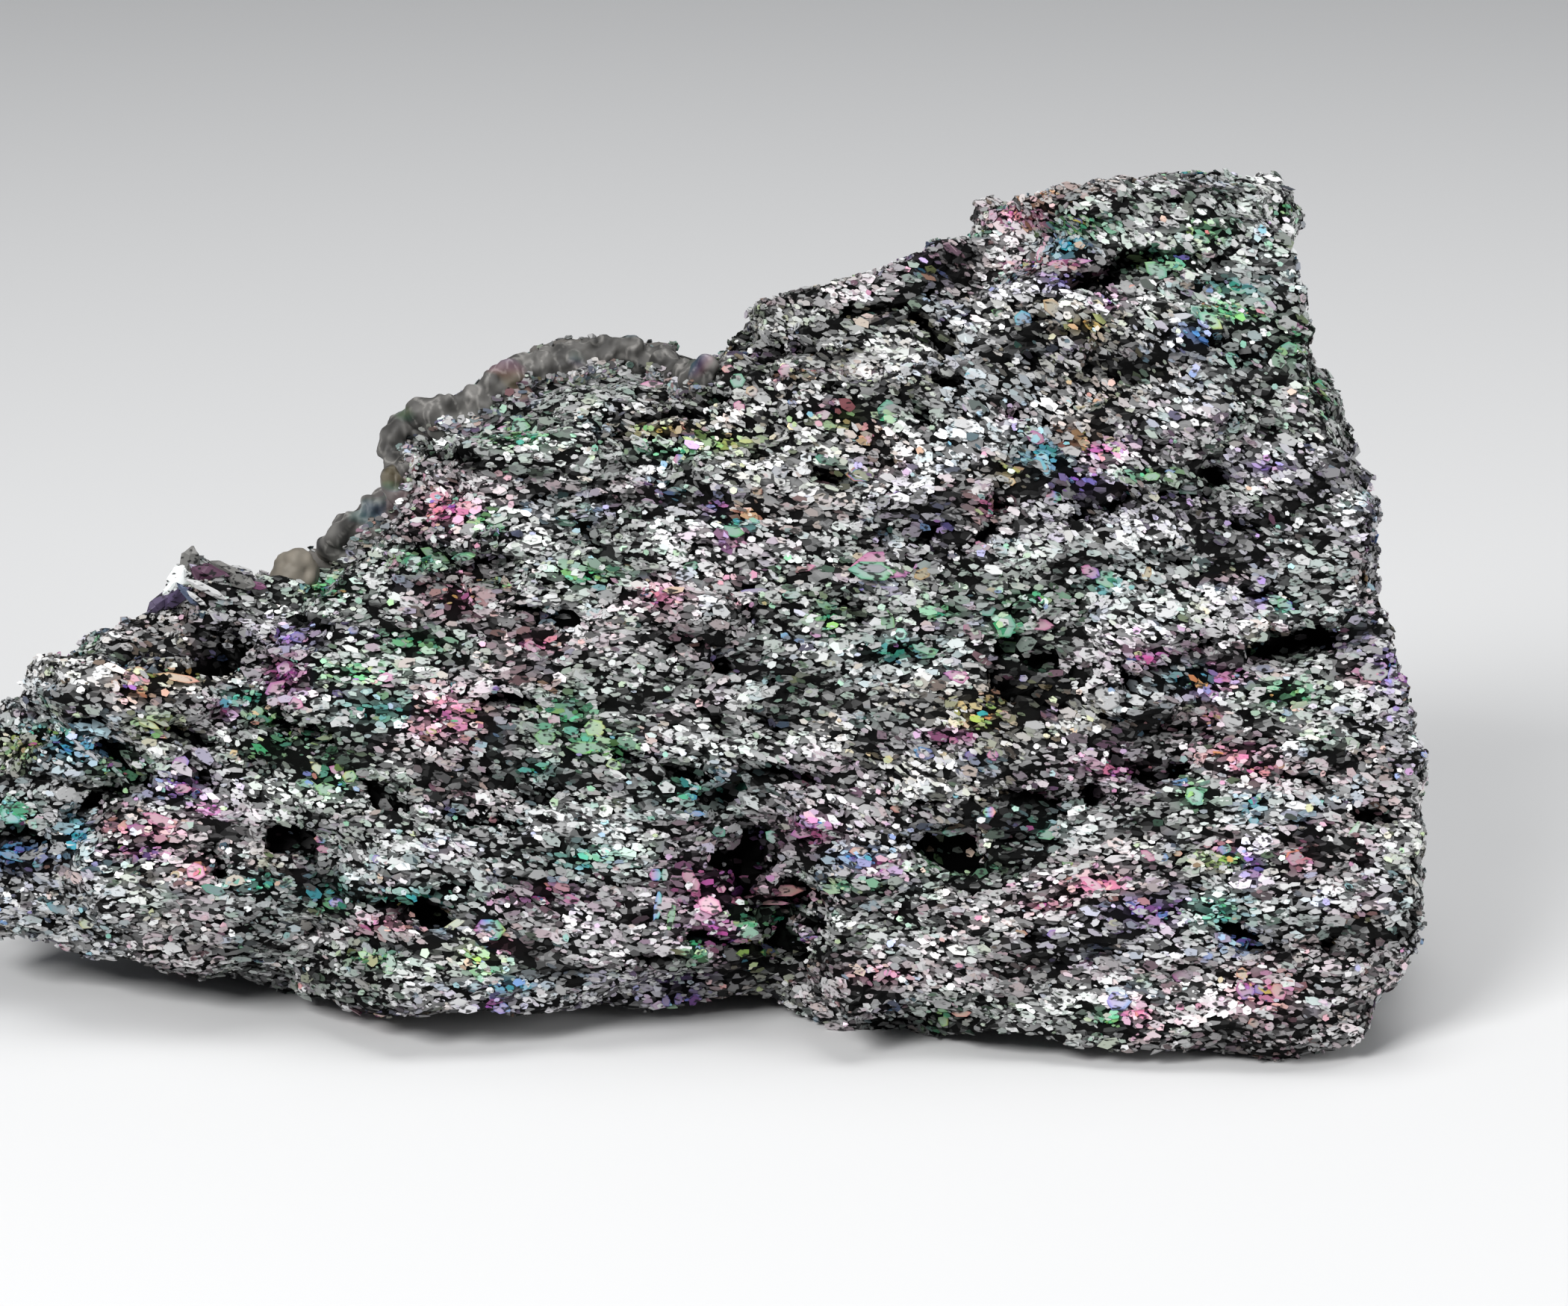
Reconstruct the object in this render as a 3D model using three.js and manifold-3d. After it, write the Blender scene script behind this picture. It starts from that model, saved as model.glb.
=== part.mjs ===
// A furnace-grown mass of silicon carbide: thousands of thin plates grown together in wavy beds.
// Units are millimetres, +Z is up, and the origin is under the middle of the mass, on the floor.
// The mass is shaped in its own leaning frame: x runs along its length, v up its broad face, and
// w into its depth, away from the broad face. It is then leaned back and cut flat where it rests.

import * as THREE from "three";
import { mergeVertices } from "three/addons/utils/BufferGeometryUtils.js";
import { ImprovedNoise } from "three/addons/math/ImprovedNoise.js";
import { MeshSurfaceSampler } from "three/addons/math/MeshSurfaceSampler.js";
import Module from "manifold-3d";

// ---------------------------------------------------------------- driving dimensions

const SEED = 127; // of the ledges' sizes and places
const LEAN = 16; // degrees that the broad face leans back from upright
const STATION_STEP = 4.2; // mm along the length from one ring of the core to the next
const RING_POINTS = 32; // points around each ring of the core
const WAVE = { along: 10, up: 6, deep: 8, height: 1.1 }; // slow swelling of the skin, mm
const RIPPLE = { along: 4.5, up: 3.1, deep: 4, height: 0.55 }; // shorter swelling on top of it, mm
const RIPPLE_SHIFT = 7; // keeps the two swellings apart
const FACETS = { along: 4.1, up: 2.7, deep: 3.3, height: 2.8, shift: 2.4 }; // broken core faces, mm
const FACET_SHIFTS = [3, 31]; // keep the rise and the shift of the faces apart
const FACE_FROM = -8; // w in front of which the broad face lies
const LUMP_FLAT = 1.25; // how much lower than wide a lump is
const SKIN_RISE = 0.8; // mm that the skin, which the ledges make, stands over the sections
const CORE_INSET = 1.7; // mm that the core lies under the skin
const END_INSET = 3.4; // mm that the core's ends lie inside the ends of the skin
const LEDGE = { tries: 6000, largest: 1.25, smallest: 0.7, along: 12.8, up: 5.9,
  length: 20, depth: 12, thick: 5.4, proud: 0.9, overlap: 0.42, buried: 0.4, bevel: 0.28, uneven: 0.3 };
const LEDGE_SPREAD = { length: 0.25, depth: 0.1, thick: 0.3, proud: 0.55 }; // shares, and mm proud
const LEDGE_TURN = { slope: 6, tip: 10, spin: 14 }; // degrees either way
const LEDGE_SIDES = 5; // or one more
const LEVEL_TOP = 0.8; // upward share of a direction from which a surface counts as level
const SLAB = { sides: 9, bevel: 0.1, uneven: 0.14 };
const CLEFT = { sides: 7, bevel: 0.5, uneven: 0.2 };
const BEDS = { left: -9, right: 12, from: -25, to: 30, waver: 6, along: 17, up: 12, shift: 4 };
const FLOOR = { size: 200, deep: 40 };
const END_BULGE = 1.4; // mm that the middle of each end stands out
const END_RINGS = [0.3, 0.6, 0.88]; // shares of a section at which an end has its rings
const END_ROUGH = 0.3; // how broken the ends are, as a share of the sides
const LEFT_END = -50.6;
const RIGHT_END = 48;
const SLANT_FROM = 14; // x at which the sections begin to follow the outline of the right end

// Outline of the right end, from its top corner down to the rounded foot, as [v, x].
const RIGHT_EDGE = [[-6, 44.8], [-2.4, 48.6], [1, 51.2], [5, 51.7], [10, 51.9], [21.4, 50.5],
  [33.6, 48.2], [38.2, 45.4], [45.6, 43.6], [51, 43.2], [54, 42.4]];

// Each section lists [w, v] corners, from under the front foot, up the broad face, over the top,
// down the back and under the back foot.
const SECTIONS = [
  { x: -50.6, corners: [[-3, 5.0], [-6, 6.0], [-7.5, 8.5], [-7.5, 11], [-6.5, 14], [-4, 15.2],
    [0, 15], [2.5, 13], [3.5, 10], [2.5, 7], [0, 5.6]] },
  { x: -48.5, corners: [[-3, 3.2], [-8, 4.4], [-10, 7.5], [-10, 11.5], [-8.5, 15.5], [-5.5, 17.6],
    [1, 17.4], [4.5, 15], [5.5, 10.5], [5, 7], [1, 4.6]] },
  { x: -43, corners: [[-3, 1.8], [-9, 2.3], [-12, 6.5], [-12.3, 12.5], [-10.5, 18.2], [-6.5, 21.2],
    [2, 20.8], [6.5, 17], [8, 11], [7, 6.5], [2, 3.5]] },
  { x: -34, corners: [[-3, 0.8], [-10, 0.6], [-13.6, 5.5], [-13.6, 13.5], [-11.6, 20], [-7, 25.0],
    [3, 25.4], [8, 18.6], [10, 11], [9, 5.5], [3, 2.2]] },
  { x: -25, corners: [[-5, -1.2], [-12, -0.9], [-15, 5], [-15, 14.5], [-13, 22.5], [-8.5, 27.4],
    [3, 28.0], [8.5, 21.6], [11.5, 12], [11, 5], [5, 1.6]] },
  { x: -20, corners: [[-7, -2.3], [-14, -2.1], [-16.2, 4.5], [-16, 15.5], [-14, 25], [-9.5, 30.4],
    [3, 33.5], [9, 26], [12.5, 13], [12.5, 5], [7, 2]] },
  { x: -17.2, corners: [[-8, -2.9], [-15.4, -2.8], [-17, 4], [-16.5, 16.5], [-15, 28], [-10.5, 34.6],
    [3, 37.6], [9, 30], [13, 14], [13, 5], [8, 2.1]] },
  { x: -8, corners: [[-10, -3.5], [-16, -1.8], [-17.6, 4], [-17, 18], [-15.5, 31.5], [-10.5, 38.4],
    [4, 41.4], [10, 33], [14, 15], [14, 5], [9, 2.4]] },
  { x: 0, corners: [[-9, -3.2], [-14.8, -1.6], [-17.5, 4], [-17.5, 19], [-16, 33], [-11, 39.6],
    [4, 41.2], [10.5, 34], [15, 16], [15, 5], [10, 2.6]] },
  { x: 6.5, corners: [[-8.5, -2.9], [-13.4, -0.8], [-15.8, 5], [-18, 19], [-16.8, 35], [-12, 42.2],
    [3, 43.4], [10.5, 35], [15.5, 17], [15.5, 5], [10, 2.6]] },
  { x: 12, corners: [[-11, -3.6], [-19.2, -3.8], [-20.2, 4], [-18.8, 20], [-17.4, 37], [-13, 44.8],
    [3, 45.4], [10.5, 37], [15.5, 18], [15.5, 5.4], [10, 2.6]] },
  { x: 21, corners: [[-12, -3.9], [-19, -3.6], [-20.2, 4], [-19, 22], [-17.8, 39], [-13.4, 47.8],
    [3, 48.4], [10, 39], [15, 19], [15.2, 5.4], [10, 2.6]] },
  { x: 28, corners: [[-13, -4.4], [-20.2, -4.8], [-20.8, 4], [-19.4, 23], [-18, 42], [-14, 51.4],
    [3, 51.4], [9.5, 41], [14.5, 20], [14.8, 5.4], [10, 2.6]] },
  { x: 38, corners: [[-13, -4.4], [-21, -5.4], [-21.2, 4], [-19.4, 23], [-17.6, 42], [-13.6, 53.4],
    [2, 53.4], [8.5, 42], [13, 21], [13.5, 5.4], [9, 2.6]] },
  { x: 44, corners: [[-12, -4.4], [-20.2, -5.8], [-20.4, 4], [-18.6, 23], [-16.8, 42], [-13, 53],
    [1, 53], [7, 42], [11, 21], [11.5, 6], [8, 3]] },
  { x: 48, corners: [[-11, -0.8], [-16.2, -0.4], [-17.6, 6.4], [-16.6, 23], [-15, 41], [-12, 51.5],
    [-1, 51.5], [4, 41], [8, 21], [8.5, 8.4], [5, 4.4]] },
];

// Rounded swellings of the broad face: middle, width and rise.
const LUMPS = [
  { x: 18.9, v: 35.2, wide: 4.6, rise: 2.2 },
  { x: -13.2, v: 32.5, wide: 4.4, rise: 2.2 },
  { x: -4.2, v: 24.5, wide: 3.8, rise: 1.2 },
  { x: -4.2, v: 10.8, wide: 4.2, rise: 1.3 },
  { x: -35.2, v: 5.5, wide: 5.0, rise: 1.8 },
  { x: -40.6, v: 19.5, wide: 4.0, rise: 1.2 },
  { x: 1.9, v: 28.5, wide: 4.6, rise: 1.2 },
  { x: 17.9, v: 14.5, wide: 4.2, rise: 1.5 },
  { x: 37.9, v: 6.2, wide: 5.0, rise: 1.3 },
  { x: -22.0, v: 12.0, wide: 4.0, rise: 1.0 },
  { x: 36.0, v: 44.0, wide: 6.0, rise: 1.0 },
];

// Clefts and pits of the broad face: middle, length, height, depth and slope in degrees.
const CLEFTS = [
  { x: 7.4, v: 5.4, long: 4.6, high: 4.4, deep: 12, slope: 20 },
  { x: 6.4, v: 0.6, long: 2.6, high: 5.6, deep: 9, slope: 10 },
  { x: 3.6, v: 10.8, long: 5.0, high: 1.8, deep: 7, slope: -30 },
  { x: 18.4, v: 8.8, long: 5.4, high: 2.0, deep: 7, slope: 8 },
  { x: 27.6, v: 12.4, long: 13.0, high: 1.5, deep: 8, slope: 6 },
  { x: 23.6, v: 19.4, long: 5.0, high: 2.0, deep: 6, slope: -12 },
  { x: 31.2, v: 20.2, long: 4.6, high: 2.4, deep: 6, slope: 40 },
  { x: 42.4, v: 22.6, long: 6.4, high: 1.6, deep: 6, slope: -14 },
  { x: 29.4, v: 47.0, long: 6.4, high: 1.6, deep: 6, slope: 22 },
  { x: 18.6, v: 42.2, long: 6.6, high: 1.8, deep: 7, slope: -52 },
  { x: 10.4, v: 41.4, long: 10.0, high: 1.6, deep: 8, slope: -6 },
  { x: 22.6, v: 38.4, long: 5.6, high: 1.5, deep: 6, slope: -22 },
  { x: -3.2, v: 36.4, long: 2.6, high: 4.2, deep: 6, slope: 8 },
  { x: 28.9, v: 31.2, long: 6.4, high: 1.5, deep: 6, slope: 10 },
  { x: 37.2, v: 33.0, long: 5.4, high: 1.6, deep: 6, slope: -18 },
  { x: -12.4, v: 27.6, long: 8.6, high: 1.6, deep: 6, slope: -4 },
  { x: -8.2, v: 23.6, long: 5.4, high: 1.6, deep: 6, slope: -18 },
  { x: -28.8, v: 21.0, long: 8.2, high: 1.5, deep: 7, slope: -8 },
  { x: -37.8, v: 13.6, long: 8.0, high: 1.6, deep: 6, slope: 40 },
  { x: -31.0, v: 15.0, long: 6.4, high: 1.6, deep: 6, slope: -10 },
  { x: -24.6, v: 8.6, long: 6.4, high: 1.6, deep: 6, slope: -12 },
  { x: -16.0, v: 4.6, long: 5.4, high: 2.0, deep: 6, slope: -16 },
];

// Thick slabs that stand on the main body and its ends: middle, size, and turns in degrees.
const SLABS = [
  { x: 13.4, v: 44.9, w: -6.0, long: 21, thick: 6.6, deep: 17, slope: 16 },
  { x: 31.3, v: 51.2, w: -5.8, long: 24.6, thick: 5.6, deep: 16, slope: 5 },
  { x: -5.4, v: 40.1, w: 2.6, long: 13, thick: 7.2, deep: 10, slope: 2 },
  { x: -11.8, v: 36.8, w: 2.0, long: 15, thick: 8.0, deep: 11, slope: 14 },
  { x: -15.8, v: 34.2, w: 1.4, long: 9.0, thick: 9.0, deep: 12, slope: 16 },
  { x: -33.2, v: 25.8, w: -3.4, long: 5.4, thick: 5.0, deep: 6, slope: 40 },
  { x: -37.0, v: 22.3, w: -2.6, long: 10, thick: 4.6, deep: 8, slope: 24 },
  { x: -24.6, v: 26.8, w: 0.6, long: 5.0, thick: 4.4, deep: 6, slope: 10 },
  { x: 45.4, v: 10.5, w: -6.5, long: 21, thick: 9.5, deep: 10, spin: 80, tip: 8 },
  { x: 44.2, v: 23.5, w: -8.0, long: 19, thick: 8.5, deep: 10, spin: 97, tip: -10 },
  { x: 41.0, v: 36.0, w: -6.0, long: 18, thick: 9.0, deep: 10, spin: 84, tip: 12 },
  { x: -46.4, v: 10.4, w: -2.0, long: 11, thick: 6.0, deep: 9, spin: 96, tip: 6 },
];

// ---------------------------------------------------------------- helpers

const wasm = await Module();
wasm.setup();

const swell = new ImprovedNoise();
const radians = THREE.MathUtils.degToRad;
const lerp = THREE.MathUtils.lerp;

function seededRandom(seed) {
  let state = seed;
  return () => {
    state = (state + 0x6d2b79f5) | 0;
    let t = Math.imul(state ^ (state >>> 15), 1 | state);
    t = (t + Math.imul(t ^ (t >>> 7), 61 | t)) ^ t;
    return ((t ^ (t >>> 14)) >>> 0) / 4294967296;
  };
}

// A closed three.js geometry as a manifold-3d solid.
function solidOf(geometry) {
  const bare = geometry.index ? geometry.toNonIndexed() : geometry.clone();
  bare.deleteAttribute("normal");
  bare.deleteAttribute("uv");
  const merged = mergeVertices(bare, 1e-4);
  const index = merged.index.array;
  const kept = [];
  for (let i = 0; i < index.length; i += 3) {
    const [a, b, c] = [index[i], index[i + 1], index[i + 2]];
    if (a !== b && b !== c && c !== a) kept.push(a, b, c);
  }
  return new wasm.Manifold(
    new wasm.Mesh({
      numProp: 3,
      vertProperties: merged.attributes.position.array,
      triVerts: new Uint32Array(kept),
    }),
  );
}

function geometryOf(solid) {
  const mesh = solid.getMesh();
  const geometry = new THREE.BufferGeometry();
  geometry.setAttribute("position", new THREE.BufferAttribute(mesh.vertProperties, 3));
  geometry.setIndex(new THREE.BufferAttribute(mesh.triVerts, 1));
  return geometry;
}

// ---------------------------------------------------------------- core

// The corners of the section at a place along the length, between the two listed next to it.
function cornersAt(x) {
  const last = SECTIONS.length - 2;
  const found = SECTIONS.findIndex((section, i) => i > last || x <= SECTIONS[i + 1].x);
  const here = SECTIONS[Math.min(found, last)];
  const next = SECTIONS[Math.min(found, last) + 1];
  const share = THREE.MathUtils.clamp((x - here.x) / (next.x - here.x), 0, 1);
  return here.corners.map(([w, v], i) => {
    const [nextW, nextV] = next.corners[i];
    return new THREE.Vector3(0, lerp(w, nextW, share), lerp(v, nextV, share));
  });
}

// Where the right end of the skin is at a height up the face.
function rightEdgeAt(v) {
  const next = RIGHT_EDGE.findIndex(([level]) => level > v);
  if (next === 0) return RIGHT_EDGE[0][1];
  if (next < 0) return RIGHT_EDGE.at(-1)[1];
  const [[lowV, lowX], [highV, highX]] = [RIGHT_EDGE[next - 1], RIGHT_EDGE[next]];
  return lerp(lowX, highX, (v - lowV) / (highV - lowV));
}

// Towards the right end the sections lean over until the last one follows its outline.
function slanted(x, v) {
  const share = THREE.MathUtils.smoothstep(x, SLANT_FROM, RIGHT_END);
  return x + share * (rightEdgeAt(v) - RIGHT_END);
}

// Smooth noise from -1 to 1 in lumps of a size along, up and into the depth.
function waveAt(x, w, v, size, shift = 0) {
  return swell.noise(x / size.along + shift, v / size.up, w / size.deep);
}

// How far the skin stands out from its section there: slow swelling and the named lumps.
function swellingAt(x, w, v) {
  let rise = WAVE.height * waveAt(x, w, v, WAVE);
  rise += RIPPLE.height * waveAt(x, w, v, RIPPLE, RIPPLE_SHIFT);
  if (w < FACE_FROM) {
    for (const lump of LUMPS) {
      const far = Math.hypot(x - lump.x, (v - lump.v) * LUMP_FLAT) / lump.wide;
      rise += lump.rise * Math.exp(-far * far);
    }
  }
  return rise;
}

// How far the broken faces of the core stand out from it, and lie aside along it, there.
function facetsAt(x, w, v) {
  const [up, aside] = FACET_SHIFTS.map((shift) => waveAt(x, w, v, FACETS, shift));
  return { rise: FACETS.height * up, shift: FACETS.shift * aside };
}

// A closed ring of points around the mass, with the outward direction at each.
function ringAt(x, shrink = 1, inset = 0) {
  const curve = new THREE.CatmullRomCurve3(cornersAt(x), true, "centripetal");
  const spaced = curve.getSpacedPoints(RING_POINTS).slice(0, RING_POINTS);
  const middle = spaced.reduce((sum, p) => sum.add(p), new THREE.Vector3()).divideScalar(RING_POINTS);
  return spaced.map((point, i) => {
    const before = spaced[(i + RING_POINTS - 1) % RING_POINTS];
    const after = spaced[(i + 1) % RING_POINTS];
    const along = after.clone().sub(before).normalize();
    const out = new THREE.Vector3(0, -along.z, along.y);
    const broken = inset > 0 ? facetsAt(x, point.y, point.z) : { rise: 0, shift: 0 };
    const rise = SKIN_RISE + swellingAt(x, point.y, point.z) * shrink + broken.rise - inset;
    const at = middle.clone().lerp(point, shrink).addScaledVector(out, rise);
    return { at: at.setX(slanted(x, at.z) + broken.shift * shrink * shrink), out };
  });
}

// A ring of one of the two ends, which bulge and are broken into faces like the sides.
function endRing(x, shrink, inset, side) {
  return ringAt(x, shrink, inset).map(({ at }) => {
    const rough = inset > 0 ? END_ROUGH * facetsAt(x, at.y, at.z).rise : 0;
    return at.setX(at.x + side * (END_BULGE * Math.sqrt(1 - shrink) + rough));
  });
}

function coreGeometry(inset, random) {
  const rings = [];
  const left = LEFT_END + (inset > 0 ? END_INSET : 0);
  const right = RIGHT_END - (inset > 0 ? END_INSET : 0);
  for (const shrink of END_RINGS) rings.push(endRing(left, shrink, inset, -1));
  const steps = Math.round((right - left) / STATION_STEP);
  for (let i = 0; i <= steps; i++) {
    rings.push(ringAt(lerp(left, right, i / steps), 1, inset).map(({ at }) => at));
  }
  for (const shrink of END_RINGS.toReversed()) rings.push(endRing(right, shrink, inset, 1));

  const positions = rings.flat().flatMap((p) => [p.x, p.y, p.z]);
  const faces = [];
  for (let r = 0; r + 1 < rings.length; r++) {
    for (let i = 0; i < RING_POINTS; i++) {
      const a = r * RING_POINTS + i;
      const b = r * RING_POINTS + ((i + 1) % RING_POINTS);
      const [c, d] = [b + RING_POINTS, a + RING_POINTS];
      if (random() > 0.5) faces.push(a, c, b, a, d, c);
      else faces.push(a, d, b, b, d, c);
    }
  }
  for (const [ring, turn] of [[0, 1], [rings.length - 1, -1]]) {
    const middle = positions.length / 3;
    const centre = rings[ring].reduce((sum, p) => sum.add(p), new THREE.Vector3());
    positions.push(...centre.divideScalar(RING_POINTS).toArray());
    for (let i = 0; i < RING_POINTS; i++) {
      const a = ring * RING_POINTS + i;
      const b = ring * RING_POINTS + ((i + 1) % RING_POINTS);
      faces.push(middle, ...(turn > 0 ? [a, b] : [b, a]));
    }
  }
  const geometry = new THREE.BufferGeometry();
  geometry.setAttribute("position", new THREE.Float32BufferAttribute(positions, 3));
  geometry.setIndex(faces);
  return geometry;
}

// ---------------------------------------------------------------- tablets

// A flat many-sided tablet with bevelled edges, lying in its x-y plane, with uneven corners.
function tabletGeometry(size, { sides, bevel, uneven }, random) {
  const profile = [
    [0, -0.5],
    [1 - bevel, -0.5],
    [1, 0],
    [1 - bevel, 0.5],
    [0, 0.5],
  ].map(([r, h]) => new THREE.Vector2(r, h));
  const geometry = new THREE.LatheGeometry(profile, sides, Math.PI / sides);
  geometry.rotateX(Math.PI / 2);
  const reach = Array.from({ length: sides }, () => 1 - uneven * random());
  const position = geometry.attributes.position;
  for (let i = 0; i < position.count; i++) {
    const share = reach[Math.floor(i / profile.length) % sides];
    position.setXYZ(
      i,
      position.getX(i) * share * (size.x / 2),
      position.getY(i) * share * (size.y / 2),
      position.getZ(i) * size.z,
    );
  }
  return geometry;
}

// Turns a tablet about its own axes and moves it to its place in the leaning frame.
function placed(geometry, at, { slope = 0, tip = 0, spin = 0 }) {
  const turn = new THREE.Matrix4().makeRotationFromEuler(
    new THREE.Euler(radians(tip), -radians(slope), radians(spin), "YXZ"),
  );
  return geometry.applyMatrix4(turn.setPosition(at));
}

// Depth of the skin of the broad face at a place on it.
function faceDepth(x, v) {
  const front = ringAt(x).slice(0, RING_POINTS / 2);
  const nearest = front.reduce((best, p) => (Math.abs(p.at.z - v) < Math.abs(best.at.z - v) ? p : best));
  return nearest.at.y;
}

// Slope of the beds at a place, in degrees: down to the right on the left, up to the right beyond.
function beddingAt(x, v) {
  const rightward = THREE.MathUtils.smoothstep(x, BEDS.from, BEDS.to);
  const waver = BEDS.waver * swell.noise(x / BEDS.along, v / BEDS.up, BEDS.shift);
  return lerp(BEDS.left, BEDS.right, rightward) + waver;
}

// Lens-shaped ledges overlap all round the mass, each lying along the beds and along the skin.
function ledges(core, random) {
  const sampler = new MeshSurfaceSampler(new THREE.Mesh(core)).setRandomGenerator(random).build();
  const either = (most) => most * (2 * random() - 1);
  const places = [];
  const made = [];
  for (let i = 0; i < LEDGE.tries; i++) {
    const at = new THREE.Vector3();
    const out = new THREE.Vector3();
    sampler.sample(at, out);
    const scale = lerp(LEDGE.largest, LEDGE.smallest, i / LEDGE.tries);
    const crowded = places.some((other) => {
      const gap = other.at.clone().sub(at);
      const far = Math.hypot(Math.hypot(gap.x, gap.y) / LEDGE.along, gap.z / LEDGE.up);
      return far < (scale + other.scale) / 2;
    });
    if (crowded) continue;
    places.push({ at: at.clone(), scale });

    const size = new THREE.Vector3(
      LEDGE.length * (1 + either(LEDGE_SPREAD.length)),
      LEDGE.depth * (1 + either(LEDGE_SPREAD.depth)),
      LEDGE.thick * (1 + either(LEDGE_SPREAD.thick)),
    ).multiplyScalar(scale);
    const facing = Math.abs(out.z) > LEVEL_TOP ? 0 : Math.atan2(out.x, -out.y);
    const spin = facing + radians(either(LEDGE_TURN.spin));
    const reach = Math.hypot(Math.hypot(out.x, out.y) * size.y, out.z * size.z) / 2;
    const proud = LEDGE.proud + either(LEDGE_SPREAD.proud);
    at.addScaledVector(out, proud - reach);
    const sideways = Math.hypot(size.x * Math.cos(spin), size.y * Math.sin(spin)) / 2;
    at.x = THREE.MathUtils.clamp(at.x, LEFT_END + sideways, rightEdgeAt(at.z) - sideways);
    const ring = new THREE.Box3().setFromPoints(ringAt(at.x).map((point) => point.at));
    const overlap = LEDGE.overlap * Math.abs(out.z) * size.y;
    at.y = THREE.MathUtils.clamp(at.y, ring.min.y + overlap, ring.max.y - overlap);
    const buried = LEDGE.buried * size.z;
    at.z = THREE.MathUtils.clamp(at.z, ring.min.z + buried, ring.max.z - buried);
    const form = { ...LEDGE, sides: LEDGE_SIDES + Math.round(random()) };
    const grade = THREE.MathUtils.radToDeg(Math.atan(-out.x / out.z));
    made.push(placed(tabletGeometry(size, form, random), at, {
      slope: lerp(beddingAt(at.x, at.z), grade, out.z * out.z) + either(LEDGE_TURN.slope),
      tip: either(LEDGE_TURN.tip),
      spin: THREE.MathUtils.radToDeg(spin),
    }));
  }
  return made;
}

// ---------------------------------------------------------------- the mass

function crystalMass() {
  const random = seededRandom(SEED);
  let mass = solidOf(coreGeometry(CORE_INSET, random));
  for (const slab of SLABS) {
    const size = new THREE.Vector3(slab.long, slab.deep, slab.thick);
    const tablet = tabletGeometry(size, SLAB, random);
    mass = mass.add(solidOf(placed(tablet, new THREE.Vector3(slab.x, slab.w, slab.v), slab)));
  }
  for (const ledge of ledges(coreGeometry(0, random), random)) mass = mass.add(solidOf(ledge));
  for (const cleft of CLEFTS) {
    const size = new THREE.Vector3(cleft.long, cleft.deep, cleft.high);
    const tablet = tabletGeometry(size, CLEFT, random);
    const at = new THREE.Vector3(cleft.x, faceDepth(cleft.x, cleft.v), cleft.v);
    mass = mass.subtract(solidOf(placed(tablet, at, cleft)));
  }

  const leaned = geometryOf(mass).rotateX(-radians(LEAN));
  const floor = new THREE.BoxGeometry(FLOOR.size, FLOOR.size, FLOOR.deep).translate(0, 0, -FLOOR.deep / 2);
  const rested = geometryOf(solidOf(leaned).subtract(solidOf(floor)));
  rested.computeBoundingBox();
  const middle = rested.boundingBox.getCenter(new THREE.Vector3());
  return rested.translate(-middle.x, -middle.y, 0);
}

const blackCarbide = new THREE.MeshStandardMaterial({
  color: 0x6e7175,
  roughness: 0.35,
  metalness: 0.6,
  flatShading: true,
});

const crystal = new THREE.Group();
const mesh = new THREE.Mesh(crystalMass(), blackCarbide);
mesh.name = "crystal_mass";
crystal.add(mesh);

export default crystal;
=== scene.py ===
import math

import bpy
import numpy as np
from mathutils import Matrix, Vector, noise
from mathutils.bvhtree import BVHTree


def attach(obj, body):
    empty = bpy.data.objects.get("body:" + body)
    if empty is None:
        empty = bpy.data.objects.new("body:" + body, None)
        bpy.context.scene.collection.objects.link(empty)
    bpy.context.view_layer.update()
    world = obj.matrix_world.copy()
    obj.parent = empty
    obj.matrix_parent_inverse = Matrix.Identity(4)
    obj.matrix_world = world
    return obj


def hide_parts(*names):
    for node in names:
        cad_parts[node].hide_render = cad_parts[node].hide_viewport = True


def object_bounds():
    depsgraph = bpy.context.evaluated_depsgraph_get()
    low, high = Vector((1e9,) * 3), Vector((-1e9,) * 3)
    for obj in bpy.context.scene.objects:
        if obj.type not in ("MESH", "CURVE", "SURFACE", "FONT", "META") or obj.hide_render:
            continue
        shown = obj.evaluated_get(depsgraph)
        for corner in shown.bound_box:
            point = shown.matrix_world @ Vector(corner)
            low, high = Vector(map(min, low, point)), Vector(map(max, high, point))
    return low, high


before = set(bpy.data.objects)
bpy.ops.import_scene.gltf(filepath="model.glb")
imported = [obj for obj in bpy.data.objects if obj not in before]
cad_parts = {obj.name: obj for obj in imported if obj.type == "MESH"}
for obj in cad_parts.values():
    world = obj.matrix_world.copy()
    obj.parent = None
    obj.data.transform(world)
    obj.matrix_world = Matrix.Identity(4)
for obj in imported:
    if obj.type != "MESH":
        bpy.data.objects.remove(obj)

MM = 0.001
cad_box = [list(corner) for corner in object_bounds()]


# ---------------------------------------------------------------- the camera
# It stands level with the upper part of the mass and looks down on its broad face by as much as
# the face leans back. Its frame cuts off the last few millimetres of the thin left end.

LEAN = math.radians(16)
CAMERA_AWAY = 394.0  # mm from the middle of the view
FRAME_WIDE = 105.0  # mm across the view there
PIXELS_WIDE, PIXELS_HIGH = 2100, 1749
PIXEL = FRAME_WIDE / PIXELS_WIDE  # mm
SENSOR_WIDE = 36.0  # mm
VIEW_X, VIEW_LEVEL, VIEW_DEEP = 6.85, 21.6, -15.0  # mm: middle of the view in the leaning frame

look = np.array([0.0, math.cos(LEAN), -math.sin(LEAN)])
up = np.array([0.0, math.sin(LEAN), math.cos(LEAN)])
middle = np.array([VIEW_X, 0, 0]) + VIEW_DEEP * look + VIEW_LEVEL * up
eye = middle - CAMERA_AWAY * look

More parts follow.
